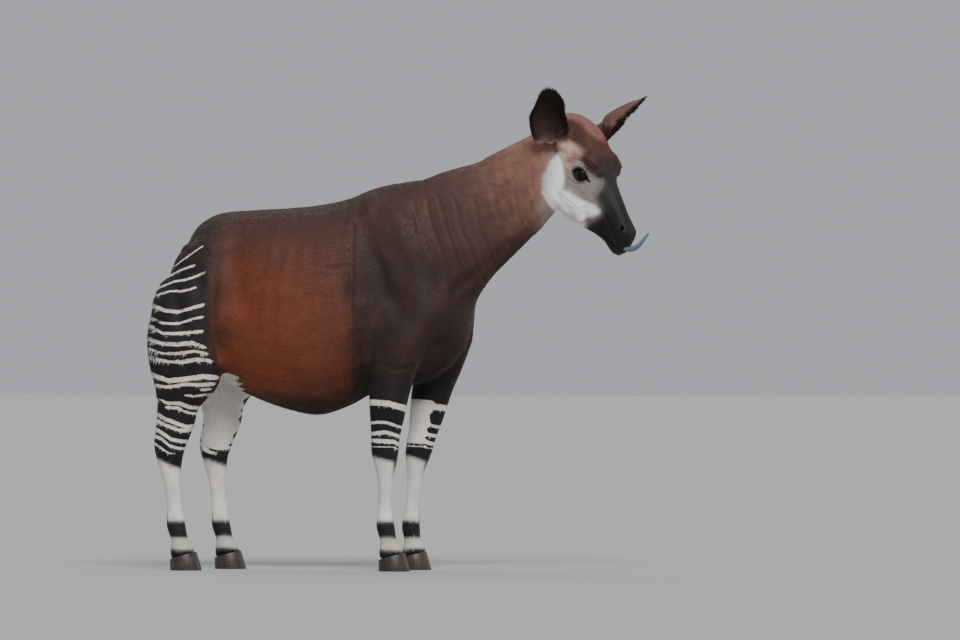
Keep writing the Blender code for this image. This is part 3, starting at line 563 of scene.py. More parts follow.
def basis_of(points, normals):
    """What the markings are read from, for every point of the skin."""
    places = points + SHIFT
    twins = to_right_side(points)
    return {
        "points": points,
        "normals": normals,
        "places": places,
        "twins": twins,
        "flat": side_view(twins),
        "head": headness(places),
        "face": in_frame(points, HEAD_FRAME),
        "ears": [in_frame(points, matrix) for _, matrix in EAR_FRAMES],
    }


def leg_masks(base):
    """Foreleg below the elbow, and hind leg with the rump above it, each from 0 to 1."""
    x, z = base["twins"][:, 0], base["twins"][:, 2]
    outer, ahead = leg_place(base["twins"], FORELEG)
    fore = ease(0.12, 0.20, x) * ease(0.78, 0.70, z) * ease(1.5, 1.25, np.hypot(outer, ahead))
    hind = ease(-0.18, -0.26, x)
    return fore, hind


def stripes_of(base):
    """The stripes' number, gap and half width over the skin."""
    along, height = base["flat"].T
    fore, hind = leg_masks(base)
    number, gap, half = stripe_field(base["flat"], THIGH_STRIPES, THIGH_REAR, THIGH_FRONT)
    arm_number, arm_gap, arm_half = stripe_field(base["flat"], ARM_STRIPES, ARM_REAR, ARM_FRONT)
    # Both legs are pale inside, where the stripes run together
    outer = leg_place(base["twins"], HIND_LEG)[0]
    inner = ease(0.05, -0.75, outer) * ease(0.90, 0.78, height) * ease(0.44, 0.52, height)
    edge = ease(-0.005, 0.02, on_line(height, THIGH_FRONT) - along)
    half = half * np.where(height > 0.70, edge, 1)
    half = half * hind * ease(0.44, 0.46, height) + gap * STRIPE_COVER * inner * hind
    outer, ahead = leg_place(base["twins"], FORELEG)
    inner = ease(0.05, -0.45, outer) * ease(0.45, 0.15, ahead)
    inner = inner * ease(0.665, 0.645, height) * ease(0.485, 0.515, height)
    arm_half = (arm_half + arm_gap * STRIPE_COVER * inner) * fore * ease(0.435, 0.45, height)
    arm = (fore > 0.5) & (hind < 0.5)
    half = np.where(arm, arm_half, half)
    # Below zero the material draws no stripe at all
    half -= 0.02 * ease(0.0022, 0.0004, half)
    return np.where(arm, arm_number, number), np.where(arm, arm_gap, gap), half


def lay(coat, tint, share):
    """Lays a tint over the coat, as strongly as the share says."""
    coat += (np.array(tint) - coat) * share[:, None]


def coat_of(base, tints):
    """The colour of the coat without its stripes, in soft-edged layers over distance along u and height w."""
    u, w = base["flat"].T
    up = base["normals"][:, 2]
    # Waves of 110 mm and 35 mm keep the edges of the layers from running straight
    wobble = ripple(base["points"], 0.11, 3)
    fine = ripple(base["points"], 0.035, 4)
    coat = np.tile(np.array(tints.chocolate), (len(u), 1))
    barrel = ease(-0.42, -0.28, u) * ease(1.42, 1.00, w + 0.04 * wobble) * ease(0.62, 0.74, w)
    # Brightest on the flank, and browner towards the shoulder
    bright = 0.55 * ease(0.25, 0.12, u + 0.03 * wobble) + 0.42 * ease(0.16, -0.16, u + 0.05 * wobble)
    lay(coat, tints.chestnut, barrel * bright)
    # Rump, shoulder, belly and elbow
    lay(coat, tints.maroon, 0.8 * ease(-0.26, -0.38, u + 0.03 * wobble))
    lay(coat, tints.umber, 0.85 * ease(0.16, 0.24, u + 0.02 * wobble) * ease(1.55, 1.25, w + 0.25 * u))
    lay(coat, tints.soot, 0.75 * ease(0.70, 0.60, w + 0.01 * wobble) * ease(-0.3, -0.1, u))
    lay(coat, tints.soot, 0.8 * ease(0.85, 0.72, w) * ease(0.18, 0.25, u))
    # The dark ground of the thigh's stripes
    thigh = on_line(w, THIGH_FRONT) - u + 0.010 * wobble
    lay(coat, tints.soot, 0.94 * ease(-0.020, 0.020, thigh) * ease(1.30, 1.16, w) * (base["twins"][:, 0] < -0.1))
    # The neck, paler towards the head, and umber again along its underside
    along = (u - 0.45) * 0.82 + (w - 1.35) * 0.57
    neck = ease(0.0, 0.26, along + 0.02 * wobble) * ease(0.2, 0.45, u)
    lay(coat, tints.taupe, 0.85 * neck)
    lay(coat, tints.tan, 0.9 * ease(0.20, 0.60, along + 0.03 * fine))
    below = (u - 0.70) * 0.57 - (w - 1.20) * 0.82
    below = ease(-0.025, 0.03, below + 0.006 * fine) * ease(0.7, 0.85, u)
    lay(coat, tints.umber, 0.75 * below * (1 - base["head"]))
    # Darkest along the top of the back: partly the coat's own darker dorsal hair, partly painted shade on
    # upward-facing hair that tones down its sheen
    lay(coat, tints.soot, 0.4 * ease(0.35, 0.85, up) * ease(0.75, 0.35, u))
    paint_head(coat, base, tints, fine)
    paint_legs(coat, base, tints, wobble)
    paint_ears(coat, base, tints)
    return np.clip(coat * (1 + 0.05 * wobble + 0.05 * fine)[:, None], 0, 1)


def paint_head(coat, base, tints, fine):
    """Pale cheek and temple, dark bridge and muzzle, brown forehead, and bare black skin round the eyes."""
    head, face = base["head"], base["face"]
    flat = base["flat"] + 0.0015 * np.column_stack([fine, -fine])
    cheek = patch(flat, CHEEK, 0.009)
    lay(coat, tints.ash, head * ease(1.68, 1.60, flat[:, 1]))
    for tint, outline, soft, strength in UNDER_HEAD:
        lay(coat, getattr(tints, tint), head * patch(flat, outline, soft) * strength)
    lay(coat, tints.taupe, head * patch(flat, BRIDGE, 0.045) * (1 - cheek) * 0.55)
    for tint, outline, soft, strength in OVER_HEAD:
        lay(coat, getattr(tints, tint), head * patch(flat, outline, soft) * strength)
    # Painted shade along the crease behind the ear
    lay(coat, tints.umber, head * ease(0.010, 0.002, from_line(flat, EAR_CREASE_SHADE)) * 0.6)
    lay(coat, tints.taupe, head * patch(flat, BROW, 0.012) * 0.6)
    lay(coat, tints.ash, head * patch(flat, LID_PALE, 0.003) * 0.5)
    # Painted highlight along the raised vein under the eye
    lay(coat, tints.ash, head * ease(0.005, 0.001, from_line(flat, VEIN_HIGHLIGHT)) * 0.30)
    lay(coat, tints.ink, ease(0.012, 0.004, from_line(profile(face), MOUTH)) * head)
    for side in (-1, 1):
        eye = face - EYE * (1, side, 1)
        slant = np.column_stack(turned(eye[:, 0], eye[:, 2], EYE_SLANT))
        here = face[:, 1] * side > 0.02
        lay(coat, tints.umber, ease(0.046, 0.034, np.hypot(slant[:, 0], 1.3 * slant[:, 1])) * here * 0.55)
        lay(coat, tints.ink, ease(0.0345, 0.0300, np.hypot(slant[:, 0], 1.2 * slant[:, 1])) * here)
        front, rear = (from_line(slant, line) for line in EYE_CORNERS)
        lay(coat, tints.ink, ease(0.007, 0.0035, np.minimum(front, rear + 0.002)) * here)


def paint_legs(coat, base, tints, wobble):
    """White cannons and pasterns on black, with a dark line behind the hind cannons and before the fore ones."""
    twins = base["twins"]
    z = twins[:, 2] + 0.004 * wobble
    fore, hind = leg_masks(base)
    outer, ahead = leg_place(twins, HIND_LEG)
    arm_ahead = leg_place(twins, FORELEG)[1]
    lay(coat, tints.ink, hind * ease(0.56, 0.47, z))
    lay(coat, tints.ink, fore * ease(0.66, 0.62, z))
    cannon = ease(0.425, 0.405, z + 0.02 * ahead) * ease(0.185, 0.205, z)
    lay(coat, tints.cream, hind * cannon * (1 - 0.8 * ease(0.80, 1.0, -ahead)))
    arm_cannon = ease(0.445, 0.425, z + 0.012 * arm_ahead) * ease(0.185, 0.205, z)
    lay(coat, tints.cream, fore * arm_cannon * (1 - 0.85 * ease(0.72, 0.92, arm_ahead)))
    pastern = ease(0.135, 0.120, z) * ease(0.075, 0.090, z)
    lay(coat, tints.cream, (fore + hind).clip(0, 1) * pastern * 0.7)
    # The brownish inner side of the thigh
    groin = hind * ease(0.1, -0.6, outer) * ease(1.0, 0.85, z) * ease(0.5, 0.62, z)
    lay(coat, tints.taupe, groin * 0.6)


def ear_place(local, side):
    """Whether points are on an ear, how far they are from its rim, and how far back across it."""
    stations, *edges = np.array(EAR_EDGES).T
    across = -side * local[:, 1]
    front, rear, depth = (np.interp(local[:, 0], stations, edge) for edge in edges)
    on_leaf = (across > -front - 0.020) & (across < rear + 0.020)
    near = (local[:, 0] > -0.040) & on_leaf & (local[:, 2] < 0.014) & (local[:, 2] > -depth - 0.014)
    return near, np.minimum(np.minimum(across + front, rear - across), EAR_END - local[:, 0]), across


def paint_ears(coat, base, tints):
    """Ears: red-brown backs, dark hollows and black rims."""
    for local, (side, matrix) in zip(base["ears"], EAR_FRAMES):
        near, rim, across = ear_place(local, side)
        inside = np.maximum(ease(-0.006, 0.002, rim), ease(0.03, 0.06, local[:, 0]))
        facing = base["normals"] @ np.array(matrix)[:3, 2]
        cup = ease(-0.15, 0.15, facing) * near * ease(-0.038, -0.012, local[:, 0]) * inside
        lay(coat, tints.russet, near * ease(-0.03, 0.02, local[:, 0]))
        lay(coat, tints.rose_and_crest_highlight, near * (1 - cup) * 0.45 * ease(0.0, 0.03, local[:, 0]))
        lay(coat, tints.soot, cup * 0.9 * ease(-0.030, 0.0, local[:, 0]))
        lay(coat, tints.umber, cup * ease(0.010, 0.02, rim) * 0.7)
        lining = ease(0.050, 0.085, across) * ease(0.008, 0.016, rim) * ease(0.19, 0.10, local[:, 0])
        lay(coat, tints.taupe, cup * lining * 0.4)
        edge = ease(0.009, 0.002, rim) * ease(0.010, 0.035, local[:, 0]) * cup
        edge = np.maximum(edge, ease(0.004, 0.000, rim) * ease(0.050, 0.090, local[:, 0]) * 0.75)
        lay(coat, tints.ink, near * np.maximum(edge, ease(0.190, 0.208, local[:, 0]) * 0.8))


def comb_of(base):
    """Distances along and across the lie of the coat, in metres, for its grain."""
    face, head = base["face"], base["head"]
    x, y, z = base["twins"].T
    fore, hind = leg_masks(base)
    leg = np.clip(fore + hind * ease(0.9, 0.7, z), 0, 1)
    # Angles round legs, trunk and head, times about their radii
    fore_turn, hind_turn = (np.arctan2(*leg_place(base["twins"], table)) for table in (FORELEG, HIND_LEG))
    round_leg = np.where(fore > hind, fore_turn, hind_turn) * 0.05
    round_body = np.arctan2(z - 1.02, -y) * 0.30
    round_head = np.arctan2(face[:, 2] + 0.11, np.abs(face[:, 1])) * 0.09
    along = (-0.9 * x - 0.45 * z) * (1 - leg) - z * leg
    across = round_body * (1 - leg) + round_leg * leg
    return np.column_stack([along * (1 - head) - face[:, 0] * head, across * (1 - head) + round_head * head, leg])


def lie_of(base):
    """The direction that the coat lies in, at every point of the skin."""
    places, head = base["places"], base["head"]
    fore, hind = leg_masks(base)
    leg = np.clip(fore + hind * ease(1.0, 0.75, base["twins"][:, 2]), 0, 1)[:, None]
    neck = (ease(0.45, 0.70, places[:, 0]) * ease(0.9, 1.1, places[:, 2]))[:, None]
    way = np.tile(np.array([-1.0, 0.0, -0.45]), (len(places), 1))
    way = way * (1 - neck) + np.array([-0.75, 0.0, -0.75]) * neck
    way = way * (1 - leg) + np.array([-0.12, 0.0, -1.0]) * leg
    nose = np.array(HEAD_FRAME.to_3x3())
    back = -nose[:, 0] - 0.25 * nose[:, 2]
    way = way * (1 - head[:, None]) + back * head[:, None]
    tips = np.zeros((len(places), 1))
    for local, (side, matrix) in zip(base["ears"], EAR_FRAMES):
        tip = np.array(matrix)[:3, 0]
        on_ear = (ease(-0.02, 0.01, local[:, 0]) * ear_place(local, side)[0])[:, None]
        way = way * (1 - on_ear) + tip * on_ear
        tips = np.maximum(tips, on_ear * ease(0.175, 0.198, local[:, 0])[:, None])
    normals = base["normals"]
    # At the tips of the ears the hair runs on past the skin
    way = way - (1 - tips) * normals * np.sum(way * normals, axis=1)[:, None]
    return way / np.maximum(np.linalg.norm(way, axis=1), 1e-6)[:, None]


def new_piece(name, mesh_builder):
    """An object at the origin from a bmesh that a function fills."""
    bm = bmesh.new()
    mesh_builder(bm)
    mesh = bpy.data.meshes.new(name)
    bm.to_mesh(mesh)
    bm.free()
    piece = bpy.data.objects.new(name, mesh)
    bpy.context.scene.collection.objects.link(piece)
    return piece


def set_modifiers(piece):
    """Makes what the modifiers show the piece's own mesh."""
    graph = bpy.context.evaluated_depsgraph_get()
    mesh = bpy.data.meshes.new_from_object(piece.evaluated_get(graph))
    piece.modifiers.clear()
    piece.data = mesh


def numbers_of(rows, key, width=1, kind=float):
    """What the rows of a mesh say under a key, as one array."""
    found = np.empty(len(rows) * width, kind)
    rows.foreach_get(key, found)
    return found.reshape(-1, width) if width > 1 else found


def round_off(piece, levels):
    """Rounds a piece by halving its faces that many times."""
    rounder = piece.modifiers.new("Rounder", "SUBSURF")
    rounder.levels = rounder.render_levels = levels
    set_modifiers(piece)


def points_of(mesh):
    return numbers_of(mesh.vertices, "co", 3)


def normals_of(mesh):
    return numbers_of(mesh.vertices, "normal", 3)


def set_points(mesh, points):
    mesh.vertices.foreach_set("co", points.ravel())
    mesh.update()


def melted(name, nodes, grain):
    """One closed skin over several nodes, at the grain given."""

    def gather(bm):
        for node in nodes:
            first = len(bm.verts)
            bm.from_mesh(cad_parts[node].data)
            bm.verts.ensure_lookup_table()
            bmesh.ops.remove_doubles(bm, verts=bm.verts[first:], dist=WELD)
            bm.verts.ensure_lookup_table()
            bm.normal_update()
            if node in EARS:
                # Thin walls are thickened first, so that the melt leaves no holes in them
                for vert in bm.verts[first:]:
                    vert.co += vert.normal * EAR_SWELL

    piece = new_piece(name, gather)
    melt = piece.modifiers.new("Melt", "REMESH")
    melt.mode = "VOXEL"
    melt.voxel_size = grain
    melt.adaptivity = 0.0
    set_modifiers(piece)
    return piece


def keep_largest(bm):
    """Drops every closed surface but the largest."""
    seen = set()
    best = []
    for start in bm.verts:
        if start in seen:
            continue
        group = [start]
        seen.add(start)
        for vert in group:
            for edge in vert.link_edges:
                other = edge.other_vert(vert)
                if other not in seen:
                    seen.add(other)
                    group.append(other)
        if len(group) > len(best):
            best = group
    keep = set(best)
    bmesh.ops.delete(bm, geom=[v for v in bm.verts if v not in keep], context="VERTS")


def beside(mesh):
    """A function that gives the mean of each point's neighbours."""
    a, b = numbers_of(mesh.edges, "vertices", 2, int).T
    size = len(mesh.vertices)
    count = np.bincount(np.concatenate([a, b]), minlength=size)

    def mean(values):
        return (np.bincount(a, values[b], size) + np.bincount(b, values[a], size)) / count

    return mean


def spread(mesh, values, rounds):
    """Softens the steps of a weight over the mesh."""
    mean = beside(mesh)
    for _ in range(rounds):
        values = 0.5 * (values + mean(values))
    return values


def smooth_points(mesh, rounds, weight, shrink=False):
    """Evens the mesh out, each point as much as its weight says."""
    points = points_of(mesh)
    mean = beside(mesh)
    for i in range(rounds):
        # Taubin's pair of steps keeps the volume
        step = 0.55 if shrink or i % 2 == 0 else -0.57
        points += (np.column_stack([mean(points[:, k]) for k in range(3)]) - points) * (step * weight)[:, None]
    set_points(mesh, points)


def build_skin(sizes):
    """The whole skin: a fine head and ears bridged to a coarser body."""

    def cut(mesh, place, **side):
        half = bmesh.new()
        half.from_mesh(mesh)
        keep_largest(half)
        everything = half.verts[:] + half.edges[:] + half.faces[:]
        bmesh.ops.bisect_plane(half, geom=everything, plane_co=place, plane_no=JOIN_AXIS, **side)
        return half

    body = melted("okapi_skin", FLESH, sizes.body_grain)
    fine = melted("fine_head", ("head", "neck", *EARS), sizes.head_grain)
    # The 5 mm left between the two are bridged
    bm = cut(body.data, Vector(JOIN) - JOIN_AXIS * 0.005, clear_outer=True)
    fore = cut(fine.data, Vector(JOIN), clear_inner=True)
    fore.to_mesh(fine.data)
    fore.free()
    bm.from_mesh(fine.data)
    bpy.data.objects.remove(fine, do_unlink=True)
    bmesh.ops.bridge_loops(bm, edges=[edge for edge in bm.edges if edge.is_boundary])
    bmesh.ops.recalc_face_normals(bm, faces=bm.faces)
    bm.to_mesh(body.data)
    bm.free()
    return body


def pressed(flat, folds):
    """How deep the folds press the skin in, with a swell along both sides of each."""
    press = np.zeros(len(flat))
    flat = flat + 0.0035 * np.column_stack([ripple(flat, 0.16, 21), ripple(flat, 0.16, 22)])
    for line, depth, width in folds:
        away = from_line(flat, line)
        swell = 0.35 * np.exp(-(((away - 2 * width) / (1.2 * width)) ** 2))
        press += depth * (np.exp(-((away / width) ** 2)) - swell)
    return press


def free_to_smooth(face):
    """1 where the skin may be smoothed, and less at the eyes, nostrils and lips, which keep their shape."""
    keep = np.ones(len(face))
    for side in (-1, 1):
        keep *= ease(0.030, 0.055, np.linalg.norm(face - EYE * (1, side, 1), axis=1))
        nostril = np.linalg.norm(face - np.array(NOSTRIL) * (1, side, 1), axis=1)
        keep *= 0.25 + 0.75 * ease(0.015, 0.04, nostril)
    return keep * (0.15 + 0.85 * ease(0.006, 0.02, from_line(profile(face), MOUTH)))


def ear_weights(points):
    """Where the ears are, where their stubs stand in the head, and where the blades are clear of their rims."""
    on_ears, stubs, leaves = np.zeros((3, len(points)))
    for side, matrix in EAR_FRAMES:
        local = in_frame(points, matrix)
        near, rim, _ = ear_place(local, side)
        on_ears = np.maximum(on_ears, near)
        leaves = np.maximum(leaves, near * ease(0.003, 0.014, rim) * ease(-0.02, 0.0, local[:, 0]))
        stub = np.linalg.norm(local - np.array(EAR_STUB) * (1, side, 1), axis=1)
        stubs = np.maximum(stubs, ease(0.095, 0.050, stub))
    return on_ears, stubs, leaves


def shape_skin(skin, sizes):
    """Smooths the facets away, draws the skin in by the coat's depth and presses its folds in."""
    mesh = skin.data
    points = points_of(mesh)
    places = points + SHIFT
    face = in_frame(points, HEAD_FRAME)
    keep = free_to_smooth(face)
    on_ears, stubs, leaves = ear_weights(points)
    on_ears = spread(mesh, on_ears, 10)
    weight = 1 - 0.6 * on_ears - (1 - keep) * 0.7
    smooth_points(mesh, ROUNDS_ALL, weight)
    smooth_points(mesh, ROUNDS_HEAD, weight * headness(places) * (1 - on_ears) * keep)
    smooth_points(mesh, ROUNDS_LEAVES, spread(mesh, leaves, 4) * 0.9)
    # The stubs that carry the ears melt into the head, and the neck's foot into the brisket
    smooth_points(mesh, ROUNDS_STUBS, stubs * (1 - on_ears), shrink=True)
    foot = np.linalg.norm(side_view(to_right_side(points)) - NECK_FOOT, axis=1)
    smooth_points(mesh, ROUNDS_FOOT, ease(0.200, 0.070, foot), shrink=True)
    seam = np.abs((points_of(mesh) - JOIN) @ np.array(JOIN_AXIS))
    smooth_points(mesh, ROUNDS_JOIN, ease(0.050, 0.018, seam))
    points = points_of(mesh)
    normals = normals_of(mesh)
    # The coat is thinner on the head, and the ears give back what they were swelled by
    thinner = 1 - 0.55 * headness(points + SHIFT)
    sink = sizes.coat_depth * thinner * keep * (1 - on_ears) + 1.2 * EAR_SWELL * on_ears
    sink *= ease(0.09, 0.13, places[:, 2])
    # The coronets bulge a little over the hooves
    sink -= 0.0035 * ease(0.105, 0.080, places[:, 2]) * ease(0.035, 0.045, places[:, 2])
    # The last bones of the back stand up a little before the tail
    ridge = np.exp(-((places[:, 1] / 0.035) ** 2)) * ease(-0.18, -0.34, places[:, 0])
    sink -= 0.008 * (ridge * ease(-0.458, -0.435, places[:, 0])) * ease(1.14, 1.22, places[:, 2])
    points = points - normals * sink[:, None]
    base = basis_of(points, normals)
    # Folds are a little shallower on the left
    side = np.where(base["places"][:, 1] > neck_middle(base["places"]), 0.7, 1.0)
    flank = ease(0.1, 0.5, np.abs(normals[:, 1])) * (1 - base["head"]) * side
    cheek = ease(0.1, 0.5, np.abs(normals @ np.array(HEAD_FRAME)[:3, 1])) * base["head"] * (1 - on_ears)
    press = pressed(base["flat"], (*FOLDS, *FORMS)) * flank + pressed(base["flat"], HEAD_FOLDS) * cheek
    groove = 0.004 * np.exp(-((from_line(profile(face), MOUTH) / 0.003) ** 2)) * (face[:, 0] > 0.44)
    set_points(mesh, points - normals * (press + groove * base["head"])[:, None])


def write_attribute(mesh, name, kind, values):
    """Stores values on the points of a mesh."""
    found = mesh.attributes.get(name) or mesh.attributes.new(name, kind, "POINT")
    key = {"FLOAT": "value", "FLOAT_VECTOR": "vector", "FLOAT_COLOR": "color"}[kind]
    found.data.foreach_set(key, np.ascontiguousarray(values, np.float32).ravel())


def mark(mesh, coat, stripe, comb, each=1):
    """Stores the markings that the coat's material reads, every row for that many points."""
    opaque = np.column_stack([coat[:, :3], np.ones(len(coat))])
    for name, kind, values in (("coat", "COLOR", opaque), ("stripe", "VECTOR", stripe), ("comb", "VECTOR", comb)):
        write_attribute(mesh, name, "FLOAT_" + kind, np.repeat(values, each, axis=0))


def unstriped(count):
    """The stripe values of points that no stripe crosses."""
    return np.tile(NO_STRIPE, (count, 1))


def add_node(tree, kind, settings=(), **links):
    """Adds a node, sets what is given by name or by input, and links what is given as a socket."""
    node = tree.nodes.new(kind)
    for key, value in dict(settings).items():
        if isinstance(key, str) and hasattr(node, key):
            setattr(node, key, value)
        else:
            node.inputs[key].default_value = value
    for key, source in links.items():
        numbered = key.startswith("in") and key[2:].isdigit()
        tree.links.new(source, node.inputs[int(key[2:]) if numbered else key.replace("_", " ")])
    return node


def roughen(tree, shader, height, strength, distance):
    """Bumps a material's surface by a height, over the distance given in metres."""
    bump = add_node(tree, "ShaderNodeBump", {"Strength": strength, "Distance": distance}, Height=height)
    tree.links.new(bump.outputs["Normal"], shader.inputs["Normal"])


def colour_by(tree, shader, source, stops):
    """Colours a material along a ramp, from positions and sRGB hex."""
    ramp = add_node(tree, "ShaderNodeValToRGB", Fac=source)
    marks = ramp.color_ramp.elements
    for stop, (at, text) in zip(marks, stops[:2]):
        stop.position, stop.color = at, (*linear(text), 1)
    for at, text in stops[2:]:
        marks.new(at).color = (*linear(text), 1)
    tree.links.new(ramp.outputs["Color"], shader.inputs["Base Color"])


def dress(piece, material):
    """Gives a piece its one material and smooth shading."""
    piece.data.materials.clear()
    piece.data.materials.append(material)
    piece.data.shade_smooth()


def new_material(name, roughness):
    """A material with its node tree and its shader."""
    material = bpy.data.materials.new(name)
    material.use_nodes = True
    tree = material.node_tree
    shader = tree.nodes["Principled BSDF"]
    shader.inputs["Roughness"].default_value = roughness
    return material, tree, shader


def coat_material(tints):
    """Short velvety hair: colour from the markings, a combed grain, and a faint oily sheen."""
    material, tree, shader = new_material("short_hair_coat", 0.52)
    # Hair is matt across and glossy along its lie, which gives the eye a soft bloom at grazing angles
    shader.inputs["Sheen Weight"].default_value = 0.03
    shader.inputs["Sheen Roughness"].default_value = 0.4
    shader.inputs["Specular IOR Level"].default_value = 0.3
    coat, stripe, comb = (
        add_node(tree, "ShaderNodeAttribute", {"attribute_name": name}) for name in ("coat", "stripe", "comb")
    )
    place = add_node(tree, "ShaderNodeTexCoord").outputs["Object"]

    def noise(where, scale, detail, roughness=0.5):
        settings = {"Scale": scale, "Detail": detail, "Roughness": roughness}
        return add_node(tree, "ShaderNodeTexNoise", settings, Vector=where).outputs["Fac"]

    def calc(operation, first, second=None, **numbers):
        settings = {"operation": operation, **{int(key[1:]): value for key, value in numbers.items()}}
        sockets = {"in0": first} if second is None else {"in0": first, "in1": second}
        return add_node(tree, "ShaderNodeMath", settings, **sockets).outputs[0]

    def stretch(value, low, high, to_low=0.0, to_high=1.0, **settings):
        settings.update({"From Min": low, "From Max": high, "To Min": to_low, "To Max": to_high})
        return add_node(tree, "ShaderNodeMapRange", settings, Value=value).outputs["Result"]

    # Strands of the coat, drawn 5 mm by 60 mm, coarser than real hair so that they show
    strand_place = add_node(tree, "ShaderNodeMapping", {"Scale": (28.0, 340.0, 1.0)}, Vector=comb.outputs["Vector"])
    strand = noise(strand_place.outputs["Vector"], 1.0, 4.0, 0.6)
    fine = noise(place, 260.0, 3.0)
    broad = noise(place, 9.0, 4.0)
    # The stripe's own numbers, read at every point: how far its middle is, in metres
    parts = add_node(tree, "ShaderNodeSeparateXYZ", Vector=stripe.outputs["Vector"]).outputs
    apart = calc("SUBTRACT", parts["X"], calc("ROUND", parts["X"]))
    metres = calc("MULTIPLY", calc("ABSOLUTE", apart), parts["Y"])
    # Its edge frays by 1.2 mm and wavers by 3 mm
    fray = calc("MULTIPLY_ADD", fine, _1=0.0024, _2=-0.0012)
    waver = calc("MULTIPLY_ADD", broad, _1=0.006, _2=-0.003)
    inside = calc("SUBTRACT", parts["Z"], calc("ADD", calc("ADD", metres, fray), waver))
    white = stretch(inside, -0.0012, 0.0012, interpolation_type="SMOOTHSTEP")
    settings = {"data_type": "RGBA", 7: (*tints.cream, 1.0)}
    striped = add_node(tree, "ShaderNodeMix", settings, in0=white, in6=coat.outputs["Color"])
    shade = stretch(strand, 0.25, 0.75, 0.80, 1.20)
    blotch = stretch(broad, 0.3, 0.7, 0.86, 1.14)
    both = calc("MULTIPLY", shade, blotch)
    tone = add_node(tree, "ShaderNodeVectorMath", {"operation": "SCALE"}, in0=striped.outputs[2], Scale=both)
    tree.links.new(tone.outputs["Vector"], shader.inputs["Base Color"])
    roughen(tree, shader, calc("ADD", strand, fine), 0.35, 0.0015)
    tree.links.new(stretch(strand, 0.0, 1.0, 0.50, 0.72), shader.inputs["Roughness"])
    return material


def face_arrays(mesh):
    """Middle, normal, area and first corners of every face of a mesh."""
    faces = mesh.polygons
    middle, normal, area = numbers_of(faces, "center", 3), numbers_of(faces, "normal", 3), numbers_of(faces, "area")
    start, total = numbers_of(faces, "loop_start", kind=int), numbers_of(faces, "loop_total", kind=int)
    corners = numbers_of(mesh.loops, "vertex_index", kind=int)
    places = (start, start + 1, start + np.minimum(2, total - 1), start + total - 1)
    return middle, normal, area, np.column_stack([corners[place] for place in places])


# A tuft's section as (across, up), its two stations before the tip as (along, breadth, rise), and the tip's rise
TUFT_SECTION = np.array([(-0.5, 0.0), (0.5, 0.0), (0.0, 0.13)])
TUFT_STATIONS = ((0.0, 0.75, -0.25), (0.5, 1.0, 0.55))
TUFT_TIP_RISE = 0.75
TUFT_POINTS = 7
# A tuft's patch in the unwrap: its points in halves of the patch, and that half
TUFT_PATCH = np.array([(-1, 0), (1, 0), (0, 0.5), (-1, 1), (1, 1), (0, 1.5), (0, 2)])
PATCH_HALF = 0.0015
TUFT_FACES = np.array(
    [(0, 1, 2), (0, 3, 4), (0, 4, 1), (1, 4, 5), (1, 5, 2), (2, 5, 3), (2, 3, 0), (3, 6, 4), (4, 6, 5), (5, 6, 3)]
)


def tufts(name, roots, normals, ways, lengths, widths, lifts, marks, unwrap, material):
    """One mesh of many thin tapered tufts that lie along the skin, with their coat, stripe and comb."""
    count = len(roots)
    across = np.cross(normals, ways)
    points = np.empty((count, TUFT_POINTS, 3))
    for row, (along, breadth, rise) in enumerate(TUFT_STATIONS):
        for corner, (side, up) in enumerate(TUFT_SECTION):
            points[:, row * 3 + corner] = (
                roots
                + ways * (lengths * along)[:, None]
                + across * (widths * breadth * side)[:, None]
                + normals * (lifts * rise + widths * up * breadth)[:, None]
            )
    points[:, -1] = roots + ways * lengths[:, None] + normals * (lifts * TUFT_TIP_RISE)[:, None]
    faces = (TUFT_FACES[None] + TUFT_POINTS * np.arange(count)[:, None, None]).reshape(-1, 3)
    mesh = bpy.data.meshes.new(name)
    mesh.vertices.add(count * TUFT_POINTS)
    mesh.vertices.foreach_set("co", points.ravel())
    mesh.loops.add(len(faces) * 3)
    mesh.loops.foreach_set("vertex_index", faces.ravel().astype(np.int32))
    mesh.polygons.add(len(faces))
    mesh.polygons.foreach_set("loop_start", np.arange(0, len(faces) * 3, 3, dtype=np.int32))
    mesh.update(calc_edges=True)
    mesh.validate()
    mark(mesh, *marks, each=TUFT_POINTS)
    layer = mesh.uv_layers.new(name="OFBake")
    flat = (unwrap[:, None] + TUFT_PATCH * PATCH_HALF).reshape(-1, 2)
    layer.data.foreach_set("uv", np.clip(flat[faces.ravel()], 0.0, 1.0).astype(np.float32).ravel())
    mesh.materials.append(material)
    mesh.shade_flat()
    piece = bpy.data.objects.new(name, mesh)
    bpy.context.scene.collection.objects.link(piece)
    return piece


def ride(piece):
    """Lets a piece ride on the root."""
    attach(piece, "root")


class OKAPI_OT_skin(bpy.types.Operator):
    """Makes one skin over the flesh of the body, head and ears"""

    bl_idname = "okapi.skin"
    bl_label = "Skin"

    def execute(self, context):
        sizes, tints = context.scene.okapi_sizes, context.scene.okapi_colours
        skin = build_skin(sizes)
        shape_skin(skin, sizes)
        # Flat stretches need fewer faces than ears and lips
        thin = skin.modifiers.new("Thin", "DECIMATE")
        thin.ratio = min(1.0, MOST_SKIN_FACES / sum(len(face.vertices) - 2 for face in skin.data.polygons))
        set_modifiers(skin)
        dress(skin, coat_material(tints))
        mesh = skin.data
        base = basis_of(points_of(mesh), normals_of(mesh))
        mark(mesh, coat_of(base, tints), np.column_stack(stripes_of(base)), comb_of(base))
        ride(skin)
        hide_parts(*FLESH, *EARS)
        return {"FINISHED"}


